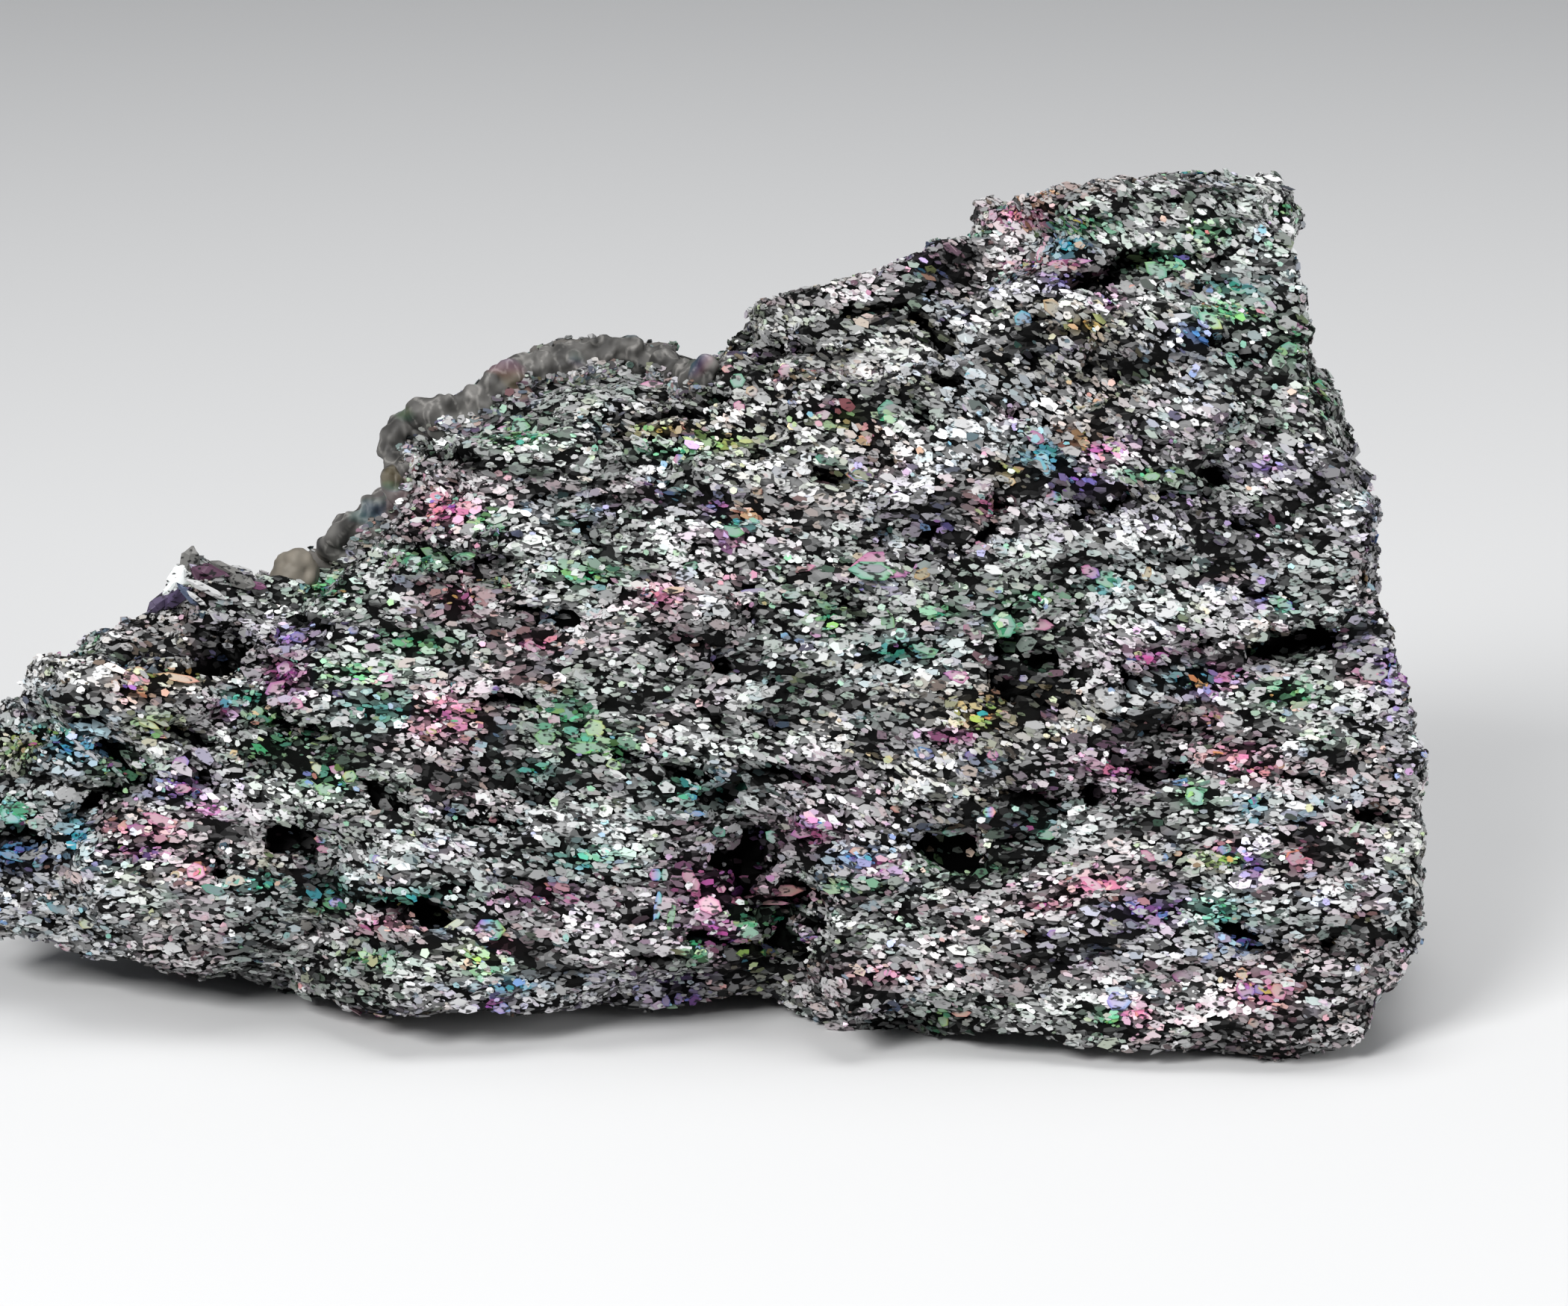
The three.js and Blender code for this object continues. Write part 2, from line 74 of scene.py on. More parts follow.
bpy.ops.object.select_all(action="DESELECT")
bpy.ops.object.camera_add(location=Vector(eye * MM), rotation=(math.radians(90) - LEAN, 0, 0))
camera = bpy.context.object
camera.name = "camera"
camera.data.sensor_width = SENSOR_WIDE
camera.data.lens = CAMERA_AWAY * SENSOR_WIDE / FRAME_WIDE
camera.data.clip_start = 0.01
camera.data.clip_end = 20
bpy.context.scene.camera = camera


# ---------------------------------------------------------------- the floor and the light
# A pale matt table, a large soft light over the left shoulder, a broad one overhead and a low
# one from the right, as in a small photo studio.

bpy.ops.mesh.primitive_plane_add(size=6)
floor = bpy.context.object
floor.name = "floor"
table = bpy.data.materials.new("pale_table")
table.use_nodes = True
table_shader = table.node_tree.nodes["Principled BSDF"]
table_shader.inputs["Base Color"].default_value = (0.6, 0.6, 0.6, 1)
table_shader.inputs["Roughness"].default_value = 0.9
table_shader.inputs["Specular IOR Level"].default_value = 0.1
floor.data.materials.append(table)


def soft_light(name, place, wide, watts):
    """A square soft light of a width in mm that faces the middle of the mass."""
    bpy.ops.object.light_add(type="AREA", location=Vector(place) * MM)
    light = bpy.context.object
    light.name = name
    light.data.size = wide * MM
    light.data.energy = watts
    aim = Vector((0, 0, 25 * MM)) - light.location
    light.rotation_euler = aim.to_track_quat("-Z", "Y").to_euler()


soft_light("key_light", (-260, -420, 420), 240, 4.2)
soft_light("top_light", (80, 60, 560), 360, 2.2)
soft_light("side_light", (480, -260, 160), 260, 1.6)
bpy.context.scene.view_settings.view_transform = "Standard"

world = bpy.data.worlds.new("studio")
bpy.context.scene.world = world
world.use_nodes = True
world.node_tree.nodes["Background"].inputs["Color"].default_value = (0.79, 0.83, 0.89, 1)
world.node_tree.nodes["Background"].inputs["Strength"].default_value = 0.22


# ---------------------------------------------------------------- the crust
# The body of the mass, furnace-grown silicon carbide, near black. Its plates grew together in
# wavy beds with open crevices between them, and the broken surface shows the edges of the beds.

CRUST_VOXEL = 0.56  # mm
SMOOTHED = 5  # rounds of smoothing before the beds are cut in
BED_FALL, BED_CLIMB = -9.0, 12.0  # degrees: slope of the beds at the left and at the right
TURN_FROM, TURN_TO = -25.0, 30.0  # mm along the length between which the slope turns

# The crevices of the broad face: both ends and the width, in pixels of the camera's picture.
CREVICES = (
    (155, 875, 215, 893, 26), (265, 890, 355, 850, 44), (100, 965, 150, 975, 16),
    (225, 980, 290, 995, 22), (130, 1000, 190, 1045, 30), (100, 1095, 150, 1050, 20),
    (0, 1112, 60, 1125, 26), (345, 958, 428, 992, 32), (250, 1020, 290, 1055, 14),
    (285, 1130, 292, 1175, 30), (355, 1115, 420, 1140, 36), (130, 1130, 210, 1150, 14),
    (480, 1045, 560, 1075, 24), (655, 938, 722, 948, 26), (490, 1215, 600, 1228, 30),
    (560, 1200, 645, 1193, 12), (545, 735, 720, 745, 28), (380, 820, 450, 835, 14),
    (600, 1080, 700, 1108, 20), (690, 1060, 750, 1065, 18), (412, 1242, 428, 1275, 20),
    (310, 770, 360, 802, 16), (560, 610, 640, 612, 14), (700, 555, 800, 562, 12),
    (800, 550, 952, 556, 16), (815, 575, 925, 588, 12), (805, 545, 806, 618, 18),
    (850, 520, 950, 526, 12), (660, 630, 720, 652, 12), (720, 668, 800, 655, 8),
    (790, 655, 845, 672, 8), (778, 695, 786, 738, 24), (800, 715, 870, 711, 7),
    (895, 748, 960, 735, 10), (685, 820, 775, 836, 20), (720, 770, 752, 800, 16),
    (870, 882, 950, 860, 12), (935, 840, 970, 828, 10), (958, 878, 976, 905, 16),
    (815, 1000, 862, 1018, 24), (888, 1020, 950, 1036, 26), (935, 945, 982, 978, 12),
    (1010, 962, 1050, 985, 16), (1000, 1036, 1095, 1046, 20), (1005, 450, 1038, 492, 32),
    (1040, 458, 1105, 466, 8), (985, 612, 1030, 612, 14), (1078, 622, 1118, 640, 22),
    (948, 546, 976, 530, 20), (960, 797, 1060, 776, 6), (1000, 815, 1022, 836, 14),
    (1128, 800, 1162, 836, 20), (945, 1080, 992, 1062, 36), (955, 1150, 1030, 1152, 28),
    (1000, 1110, 1012, 1205, 52), (1010, 1225, 1095, 1232, 56), (1040, 1262, 1075, 1300, 30),
    (1050, 1175, 1110, 1212, 16), (840, 1290, 955, 1292, 14), (920, 1250, 992, 1282, 22),
    (1080, 402, 1225, 415, 13), (1238, 378, 1256, 396, 18), (1228, 432, 1292, 470, 34),
    (1245, 492, 1292, 512, 32), (1284, 492, 1284, 552, 18), (1222, 538, 1240, 572, 24),
    (1100, 520, 1140, 505, 12), (1350, 402, 1405, 395, 12), (1385, 415, 1425, 445, 22),
    (1425, 374, 1522, 352, 36), (1350, 545, 1402, 558, 18), (1332, 650, 1345, 690, 24),
    (1288, 738, 1350, 700, 18), (1222, 705, 1242, 735, 18), (1430, 684, 1502, 675, 26),
    (1500, 668, 1525, 650, 14), (1560, 650, 1645, 656, 20), (1340, 862, 1412, 885, 26),
    (1330, 882, 1352, 932, 22), (1318, 815, 1372, 812, 18), (1200, 1086, 1320, 1062, 20),
    (1335, 1052, 1422, 1096, 26), (1230, 1128, 1302, 1152, 42), (1340, 1120, 1442, 1142, 12),
    (1150, 1142, 1240, 1120, 12), (1480, 1022, 1530, 1016, 20), (1528, 1038, 1592, 1020, 30),
    (1448, 1060, 1482, 1070, 24), (1500, 895, 1530, 922, 26), (1468, 948, 1502, 972, 22),
    (1530, 986, 1622, 975, 12), (1345, 902, 1440, 962, 14), (1685, 872, 1795, 850, 38),
    (1608, 866, 1642, 855, 20), (1810, 1084, 1872, 1096, 24), (1368, 1250, 1412, 1256, 14),
    (1640, 1240, 1700, 1282, 20), (1738, 1278, 1802, 1254, 18), (1620, 990, 1700, 985, 8),
    (1688, 1030, 1782, 1050, 10), (1548, 262, 1600, 270, 12), (1495, 336, 1585, 346, 12),
    (1590, 352, 1652, 345, 12), (1702, 298, 1738, 342, 14), (1368, 480, 1402, 500, 14),
    (1450, 490, 1492, 506, 10), (1612, 450, 1702, 480, 20), (1640, 560, 1700, 545, 16),
    (1680, 582, 1725, 574, 16), (1618, 632, 1662, 642, 28), (1648, 700, 1692, 706, 14),
    (1530, 742, 1612, 760, 12), (1660, 792, 1722, 790, 14), (1690, 830, 1722, 862, 14),
)
CREVICE_SHARE = 0.08  # mm of depth for each pixel of width
CREVICE_SHALLOW, CREVICE_DEEP = 0.8, 3.0  # mm
CREVICE_RAGGED, CREVICE_FRAYED = 13, 8  # pixels by which its sides wander
BED_RELIEF, LEAF_RELIEF, GRAIN_RELIEF = 0.75, 0.5, 0.1  # mm
OTHER_CREVICE = 1.8  # mm deep, round the other sides
SUNK = 0.15  # mm that the crust lies under the solid, for the flakes on it
PAST_BOX = 1.0  # mm that a bed edge may stand past the solid's box

# Patches of the broad face with painted light and shade: lighter where lumps catch the light, darker
# at hollows and clefts where shade falls, and the plates lie denser or sparser there too. Place and
# reach along and across the beds in pixels, and how much lighter or darker.
LIGHT_AND_SHADE_PATCHES = (
    (1260, 600, 90, 34, 0.7), (1200, 640, 60, 30, 0.5), (620, 655, 60, 26, 0.6),
    (800, 815, 80, 26, 0.6), (800, 1090, 80, 26, 0.6), (180, 1200, 70, 40, 0.6),
    (70, 900, 70, 30, 0.7), (920, 735, 60, 45, 0.6), (1240, 1040, 70, 30, 0.7),
    (1640, 1180, 70, 34, 0.6), (1680, 1320, 70, 40, 0.5), (1520, 800, 90, 40, 0.4),
    (1560, 720, 70, 26, 0.4), (1110, 590, 60, 26, 0.5), (360, 840, 60, 30, 0.4),
    (1400, 940, 60, 40, -0.6), (1530, 960, 60, 40, -0.5), (1350, 1090, 60, 26, -0.5),
    (1000, 1160, 70, 50, -0.6), (1480, 665, 60, 20, -0.6), (1250, 505, 60, 30, -0.4),
    (440, 1180, 60, 40, -0.4), (230, 900, 60, 16, -0.5), (380, 1010, 60, 30, -0.4),
)

# Where the worn outline stands in or out from the broken block: place, reach, and how far it is
# moved to the right and down, all in pixels.
WORN = (
    (1430, 205, 85, 0, 34), (1310, 285, 40, -18, -10), (1590, 225, 80, 0, -9),
    (1712, 205, 45, 0, 12), (1762, 275, 40, -8, 0), (1750, 430, 60, 14, 0),
    (1735, 335, 60, 8, 0), (1790, 520, 50, -10, 0),
    (1838, 655, 60, 10, 0), (1890, 810, 75, -36, 0), (1862, 735, 40, -8, 0), (1905, 1020, 70, 9, 0),
    (1800, 1385, 90, 6, 10), (1720, 1410, 60, 0, 8), (1345, 1420, 75, 0, -36),
    (1430, 1424, 50, 0, -10), (1520, 1430, 90, 0, -19), (1610, 1425, 60, 0, -10),
    (1180, 1385, 60, 0, 8), (985, 1370, 75, 0, -32), (900, 1370, 60, 0, -12),
    (820, 1368, 60, 0, -11), (740, 1372, 60, 0, -13), (630, 1376, 60, 0, -21),
    (320, 1330, 60, 0, -19), (420, 1335, 40, 0, 8), (1000, 425, 40, -10, -6), (1110, 362, 70, 0, 16),
    (1180, 345, 40, 0, 6), (960, 462, 25, 0, 12), (15, 940, 50, 0, -10),
)
WHOLE = (668, 704, 55, 55)  # a spot with no crevice: place and reach in pixels

# The far upper edge at the left is dull and knobby: its line and half its width in pixels.
DULL_EDGE = (
    (425, 735), (490, 685), (512, 625), (518, 572), (575, 545), (640, 508), (720, 470),
    (830, 455), (905, 480), (955, 502),
)
DULL_HALF = 27

cad_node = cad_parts["crystal_mass"]
crust = bpy.data.objects.new("crust", cad_node.data.copy())
bpy.context.collection.objects.link(crust)
bpy.ops.object.select_all(action="DESELECT")
crust.select_set(True)
bpy.context.view_layer.objects.active = crust
bpy.ops.object.mode_set(mode="EDIT")
bpy.ops.mesh.select_all(action="SELECT")
bpy.ops.mesh.remove_doubles(threshold=0.001 * MM)
bpy.ops.object.mode_set(mode="OBJECT")
remesh = crust.modifiers.new("grain", "REMESH")
remesh.mode = "VOXEL"
remesh.voxel_size = CRUST_VOXEL * MM
bpy.ops.object.modifier_apply(modifier="grain")
wear = crust.modifiers.new("wear", "SMOOTH")
wear.factor = 0.5
wear.iterations = SMOOTHED
bpy.ops.object.modifier_apply(modifier="wear")


def points_of(mesh):
    """The vertices of a mesh, in mm."""
    flat = np.empty(len(mesh.vertices) * 3)
    mesh.vertices.foreach_get("co", flat)
    return flat.reshape(-1, 3) / MM


def normals_of(mesh):
    """The normals at the vertices of a mesh."""
    flat = np.empty(len(mesh.vertices) * 3)
    mesh.vertex_normals.foreach_get("vector", flat)
    return flat.reshape(-1, 3)


def ease(value, low, high):
    """How far a value has come from low to high, from 0 to 1, with soft ends."""
    share = np.clip((value - low) / (high - low), 0, 1)
    return share * share * (3 - 2 * share)


stations = np.linspace(-60, 60, 241)
turned = ease(stations, TURN_FROM, TURN_TO)
slopes = np.radians(BED_FALL + (BED_CLIMB - BED_FALL) * turned)
climbs = np.cumsum(np.tan(slopes)) * (stations[1] - stations[0])


def in_beds(points):
    """Places along the length, into the depth and across the beds, in mm, of points in mm."""
    deep = points @ look
    level = points @ up - np.interp(points[:, 0], stations, climbs)
    return np.stack([points[:, 0], deep, level], axis=1)


def in_picture(points):
    """The pixels at which the camera sees points in mm."""
    away = points - eye
    scale = CAMERA_AWAY / (away @ look) / PIXEL
    across = PIXELS_WIDE / 2 + away[:, 0] * scale
    down = PIXELS_HIGH / 2 - (away @ up) * scale
    return np.stack([across, down], axis=1)


def unit(vectors):
    """Vectors of length 1 along the given ones."""
    return vectors / np.maximum(np.linalg.norm(vectors, axis=1, keepdims=True), 1e-9)


def waves(places, size, seed):
    """Smooth noise from about -1 to 1, in lumps of a size along, deep and across the beds."""
    return np.array([noise.noise(p) for p in (places / np.array(size) + seed).tolist()])


def from_line(spots, start, end):
    """Distance from each spot to a line, and how far along the line it comes."""
    start, run = np.array(start, float), np.array(end, float) - start
    share = np.clip(((spots - start) @ run) / (run @ run), 0, 1)
    return np.linalg.norm(spots - start - share[:, None] * run, axis=1), share


def nearness(spots, across, down, wide, high):
    """How near each spot lies to the middle of a soft oval patch, from 0 to 1."""
    return np.exp(-(((spots - (across, down)) / (wide, high)) ** 2).sum(1))


def bent_beds(places, much, size, seed):
    """Places as in beds that bend up and down by so many mm."""
    bent = places.copy()
    bent[:, 2] += much * waves(places, size, seed)
    return bent


def crevices(points, places, facing):
    """How far each point lies in a crevice, from 0 to 1, and the depth there in mm."""
    bent = bent_beds(places, 1.1, (13, 11, 7), 3.7)
    sheet = 1 - ease(np.abs(waves(bent, (8.0, 8.0, 1.5), 11.3)), 0.03, 0.17)
    patch = ease(waves(places, (10, 9, 5), 23.9), -0.2, 0.15)
    fine = 1 - ease(np.abs(waves(bent, (4.5, 4.5, 0.9), 31.1)), 0.03, 0.15)
    thin = ease(waves(places, (5, 5, 3), 41.7), -0.05, 0.2)
    open_to = np.maximum(sheet * patch, 0.7 * fine * thin) * (1 - 0.75 * facing)
    deep = OTHER_CREVICE * open_to
    spots = in_picture(points)
    ragged = CREVICE_RAGGED * waves(places, (1.5, 1.5, 0.7), 47.9)
    ragged += CREVICE_FRAYED * waves(places, (0.6, 0.6, 0.35), 5.1)
    for left, top, right, bottom, wide in CREVICES:
        gone, share = from_line(spots, (left, top), (right, bottom))
        half = wide / 2 * (0.45 + 0.55 * np.sqrt(np.clip(1 - (2 * share - 1) ** 2, 0, 1)))
        here = (1 - ease((gone + ragged * min(1, wide / 20)) / half, 0.6, 1.3)) * facing
        open_to = np.maximum(open_to, here)
        deep = np.maximum(deep, here * min(max(CREVICE_SHARE * wide, CREVICE_SHALLOW), CREVICE_DEEP))
    whole = 1 - nearness(spots, *WHOLE)
    return open_to * whole, deep * whole


def lightness(places, spots, facing):
    """How dense and light the plates lie there, from 0 to 1: random soft patches and streaks, and
    the named patches of painted light and shade.
    """
    light = 0.5 + 0.75 * waves(places, (5.5, 5.5, 2.6), 17.3)
    bent = bent_beds(places, 0.5, (5, 5, 3), 13.7)
    light += 0.55 * waves(bent, (3.0, 3.0, 0.75), 83.9)
    for across, down, wide, high, much in LIGHT_AND_SHADE_PATCHES:
        light += much * nearness(spots, across, down, wide, high) * facing
    return np.clip(light, 0, 1)


def dullness(points):
    """How much of the dull far edge each point has, from 0 to 1."""
    spots = in_picture(points)
    gone = np.full(len(points), 1e6)
    for start, end in zip(DULL_EDGE, DULL_EDGE[1:]):
        gone = np.minimum(gone, from_line(spots, start, end)[0])
    return (1 - ease(gone, 0.7 * DULL_HALF, 1.3 * DULL_HALF)) * ease(points @ look, -14, -4)


bare = points_of(crust.data)
outward = normals_of(crust.data)
places = in_beds(bare)
facing = ease(-(outward * unit(bare - eye)).sum(1), 0.0, 0.3)
hollow, deep = crevices(bare, places, facing)
dull = dullness(bare)
relief = BED_RELIEF * waves(places, (6.5, 6.5, 1.9), 51.3)
relief += LEAF_RELIEF * waves(places, (2.8, 2.8, 0.95), 61.9)
relief += GRAIN_RELIEF * waves(places, (0.9, 0.9, 0.5), 71.1)
relief -= deep
relief -= SUNK
at_rest = ease(bare[:, 2], 0.05, 2.0)
shaped = bare + outward * (relief * (0.15 + 0.85 * at_rest))[:, None]
spots = in_picture(bare)
for across, down, reach, rightward, downward in WORN:
    near = nearness(spots, across, down, reach, reach) * PIXEL
    shaped += near[:, None] * (rightward * np.array([1.0, 0, 0]) - downward * up)
low, high = (np.array(corner) / MM for corner in cad_box)
shaped = np.clip(shaped, low - (PAST_BOX, PAST_BOX, 0), high + PAST_BOX)
crust.data.vertices.foreach_set("co", (shaped * MM).ravel())
crust.data.update()

bpy.ops.object.mode_set(mode="EDIT")
bpy.ops.mesh.select_all(action="SELECT")
bpy.ops.mesh.quads_convert_to_tris()
bpy.ops.object.mode_set(mode="OBJECT")
bpy.ops.object.shade_flat()

# The colour of a clean carbide plate is silver. A film of oxide on it, far thinner than a hair,
# tints it in the order of soap-film colours: gold, pink, violet, blue, teal and green.

FILM_COLOURS = {
    "gold": (0.00, (0.66, 0.50, 0.14)),
    "orange": (0.10, (0.84, 0.34, 0.14)),
    "pink": (0.20, (0.84, 0.24, 0.42)),
    "magenta": (0.30, (0.62, 0.10, 0.42)),
    "violet": (0.42, (0.34, 0.14, 0.70)),
    "blue": (0.52, (0.08, 0.26, 0.74)),
    "cyan": (0.62, (0.05, 0.50, 0.70)),
    "teal": (0.72, (0.06, 0.48, 0.36)),
    "green": (0.84, (0.08, 0.52, 0.20)),
    "lime": (0.94, (0.42, 0.66, 0.12)),
    "gold again": (1.00, (0.66, 0.50, 0.14)),
}

# Film-tinted patches of the broad face, by colour: place in pixels, reach along and across the
# beds. Where patches overlap, the nearest one gives the colour.
FILM_PATCHES = {
    "gold": (
        (890, 575, 60, 10), (230, 905, 60, 14), (1310, 960, 50, 34), (1350, 630, 20, 16),
        (1455, 435, 34, 18),
    ),
    "orange": (
        (1000, 690, 30, 12), (1160, 580, 20, 16), (180, 920, 30, 20), (1440, 590, 30, 20),
        (1380, 260, 50, 14),
    ),
    "pink": (
        (600, 685, 55, 32), (610, 800, 40, 30), (600, 960, 60, 40), (1120, 545, 24, 10),
        (880, 800, 40, 24), (720, 860, 40, 16), (195, 1110, 60, 18), (262, 1165, 24, 24),
        (510, 1240, 40, 14), (670, 1265, 30, 14), (740, 1190, 20, 14), (1060, 1200, 60, 12),
        (1400, 355, 60, 10), (1370, 290, 50, 20), (1620, 960, 20, 14), (1650, 1010, 60, 16),
        (1680, 1030, 50, 16), (1640, 1135, 24, 14), (1740, 1150, 24, 24), (1470, 1185, 60, 20),
        (1400, 1210, 40, 12), (1690, 1325, 50, 34), (1520, 1360, 30, 26), (1180, 1305, 60, 14),
        (1830, 905, 24, 14), (1320, 680, 20, 20),
    ),
    "magenta": (
        (980, 720, 26, 14), (385, 905, 34, 34), (280, 1085, 30, 12), (180, 1140, 50, 12),
        (300, 950, 24, 14), (720, 1200, 60, 12), (960, 1250, 50, 30), (950, 1190, 60, 40),
        (1090, 1110, 40, 26), (1180, 1160, 40, 14), (1280, 985, 40, 14), (1480, 605, 50, 16),
        (1480, 405, 20, 14), (1640, 905, 30, 20), (1500, 1030, 60, 16), (1540, 880, 40, 14),
    ),
    "violet": (
        (960, 680, 20, 10), (390, 855, 34, 16), (240, 1055, 40, 20), (660, 1345, 30, 12),
        (905, 1335, 50, 14), (1450, 645, 40, 20), (1420, 375, 26, 14), (1700, 625, 40, 8),
        (1610, 925, 30, 14), (1675, 1160, 20, 26), (1540, 1220, 60, 24), (1860, 900, 24, 34),
        (1690, 800, 20, 14), (1250, 705, 20, 14),
    ),
    "blue": (
        (20, 1145, 60, 18), (1150, 1150, 40, 16), (1600, 450, 30, 20), (1660, 1260, 30, 20),
    ),
    "cyan": (
        (90, 1000, 60, 30), (100, 1120, 24, 30), (680, 1320, 40, 10), (1400, 610, 40, 24),
        (1430, 330, 30, 26), (1600, 910, 40, 20), (1680, 1075, 20, 14),
    ),
    "teal": (
        (985, 700, 30, 12), (720, 1030, 30, 14), (510, 950, 60, 24), (330, 935, 34, 16),
        (60, 980, 50, 14), (20, 1090, 36, 24), (350, 1185, 40, 16), (440, 1195, 50, 20),
        (560, 1200, 80, 14), (790, 1150, 60, 20), (920, 1060, 50, 16), (1480, 780, 30, 16),
        (1640, 385, 50, 14), (1660, 480, 30, 12), (1630, 1220, 60, 24), (1400, 1110, 30, 14),
        (1720, 810, 26, 16), (1200, 870, 60, 18),
    ),
    "green": (
        (655, 700, 30, 20), (700, 585, 60, 20), (900, 605, 50, 14), (1190, 560, 18, 10),
        (760, 960, 50, 36), (800, 1000, 60, 24), (790, 770, 60, 20), (560, 860, 60, 20),
        (480, 900, 70, 20), (440, 790, 50, 20), (560, 750, 50, 16), (350, 960, 30, 18),
        (400, 985, 50, 22), (440, 1040, 50, 28), (360, 1005, 40, 18), (160, 1030, 40, 20),
        (450, 1215, 40, 12), (500, 1285, 40, 14), (655, 1300, 30, 14), (930, 1270, 20, 30),
        (1020, 1230, 60, 30), (1150, 1185, 50, 10), (1280, 1160, 60, 14), (1350, 840, 30, 34),
        (1260, 820, 40, 14), (1380, 800, 60, 14), (1110, 830, 30, 30), (1540, 635, 50, 8),
        (1450, 300, 60, 20), (1560, 345, 50, 20), (1620, 310, 40, 20), (1650, 420, 60, 20),
        (1725, 460, 24, 34), (1720, 280, 26, 12), (1760, 520, 20, 20), (1720, 930, 60, 20),
        (1600, 1065, 24, 24), (1490, 1370, 44, 18), (1260, 1360, 24, 20),
    ),
    "lime": (
        (960, 590, 60, 18), (1130, 560, 30, 20), (205, 975, 30, 18), (30, 1000, 40, 24),
        (640, 1280, 30, 20), (1010, 1270, 30, 30), (1640, 1150, 50, 14),
    ),
}


def film_at(places, spots, facing):
    """Film phase and veil, from 0 to 1, in soft random patches and in the named ones."""
    phase = 0.5 + 1.1 * waves(places, (6, 6, 3), 91.3)
    veil = 0.75 * ease(waves(places, (3.6, 3.6, 2.2), 101.9), 0.2, 0.5) * (1 - 0.6 * facing)
    for colour, patches in FILM_PATCHES.items():
        for patch in patches:
            near = nearness(spots, *patch) * facing
            phase[near > veil] = FILM_COLOURS[colour][0]
            veil = np.maximum(veil, near)
    return phase, veil


def blend(tree, how, first, second, share):
    """Blends two colours in a node, each of which, like the share, is a value or a socket."""
    node = tree.nodes.new("ShaderNodeMix")
    node.data_type = "RGBA"
    node.blend_type = how
    for name, value in (("A", first), ("B", second), ("Factor", share)):
        if isinstance(value, bpy.types.NodeSocket):
            tree.links.new(value, node.inputs[name])
        else:
            node.inputs[name].default_value = value
    return node.outputs["Result"]


FILM_DARKENS = 0.6  # how far the tone under a film darkens its colour

film = bpy.data.node_groups.new("oxide_film", "ShaderNodeTree")
for name in ("Tone", "Phase", "Veil"):
    film.interface.new_socket(name, in_out="INPUT", socket_type="NodeSocketFloat")
film.interface.new_socket("Color", in_out="OUTPUT", socket_type="NodeSocketColor")
film_in = film.nodes.new("NodeGroupInput")
film_out = film.nodes.new("NodeGroupOutput")
film_ramp = film.nodes.new("ShaderNodeValToRGB")
stops = list(FILM_COLOURS.values())
for place, colour in stops[1:-1]:
    film_ramp.color_ramp.elements.new(place)
for element, (place, colour) in zip(film_ramp.color_ramp.elements, stops):
    element.position = place
    element.color = (*colour, 1)
silver = film.nodes.new("ShaderNodeCombineColor")
film.links.new(film_in.outputs["Phase"], film_ramp.inputs["Fac"])
for channel in ("Red", "Green", "Blue"):
    film.links.new(film_in.outputs["Tone"], silver.inputs[channel])
tinted = blend(film, "MULTIPLY", film_ramp.outputs["Color"], silver.outputs["Color"], FILM_DARKENS)
filmed = blend(film, "MIX", silver.outputs["Color"], tinted, film_in.outputs["Veil"])
film.links.new(filmed, film_out.inputs["Color"])


# Painted shade of the tiny pits between and in the plates, where the growth left pores: the colour
# is painted dark there, and no hole is modelled.
painted_pore_shade = bpy.data.node_groups.new("painted_pore_shade", "ShaderNodeTree")
painted_pore_shade.interface.new_socket("Pore_shade_factor", in_out="OUTPUT", socket_type="NodeSocketFloat")
pits_out = painted_pore_shade.nodes.new("NodeGroupOutput")
pits_where = painted_pore_shade.nodes.new("ShaderNodeTexCoord")
pits_turn = painted_pore_shade.nodes.new("ShaderNodeMapping")
pits_turn.inputs["Rotation"].default_value = (LEAN, 0.12, 0)
pits_turn.inputs["Scale"].default_value = (1 / (0.55 * MM), 1 / (0.5 * MM), 1 / (0.26 * MM))
pits_noise = painted_pore_shade.nodes.new("ShaderNodeTexNoise")
pits_noise.inputs["Scale"].default_value = 1.0
pits_noise.inputs["Detail"].default_value = 1.5
pits_edge = painted_pore_shade.nodes.new("ShaderNodeMapRange")
pits_edge.inputs["From Min"].default_value = 0.36
pits_edge.inputs["From Max"].default_value = 0.45
pits_edge.inputs["To Min"].default_value = 0.06
painted_pore_shade.links.new(pits_where.outputs["Object"], pits_turn.inputs["Vector"])
painted_pore_shade.links.new(pits_turn.outputs["Vector"], pits_noise.inputs["Vector"])
painted_pore_shade.links.new(pits_noise.outputs["Fac"], pits_edge.inputs["Value"])
painted_pore_shade.links.new(pits_edge.outputs["Result"], pits_out.inputs["Pore_shade_factor"])


def carbide(name, roughness, metallic, specular):
    """A new material for one finish of carbide, with its node tree and its shader."""
    material = bpy.data.materials.new(name)
    material.use_nodes = True
    shader = material.node_tree.nodes["Principled BSDF"]
    shader.inputs["Roughness"].default_value = roughness
    shader.inputs["Metallic"].default_value = metallic
    shader.inputs["Specular IOR Level"].default_value = specular
    return material, material.node_tree, shader


def attribute(tree, name):
    """A socket with a value that the piece carries on its points."""
    node = tree.nodes.new("ShaderNodeAttribute")
    node.attribute_name = name
    return node.outputs["Fac"]


def film_colour(tree, values):
    """The colour of the oxide film, from the values of the piece that are named."""
    film_node = tree.nodes.new("ShaderNodeGroup")
    film_node.node_tree = film
    film_node.inputs["Tone"].default_value = 1.0
    for name in values:
        tree.links.new(attribute(tree, name), film_node.inputs[name.capitalize()])
    return film_node.outputs["Color"]


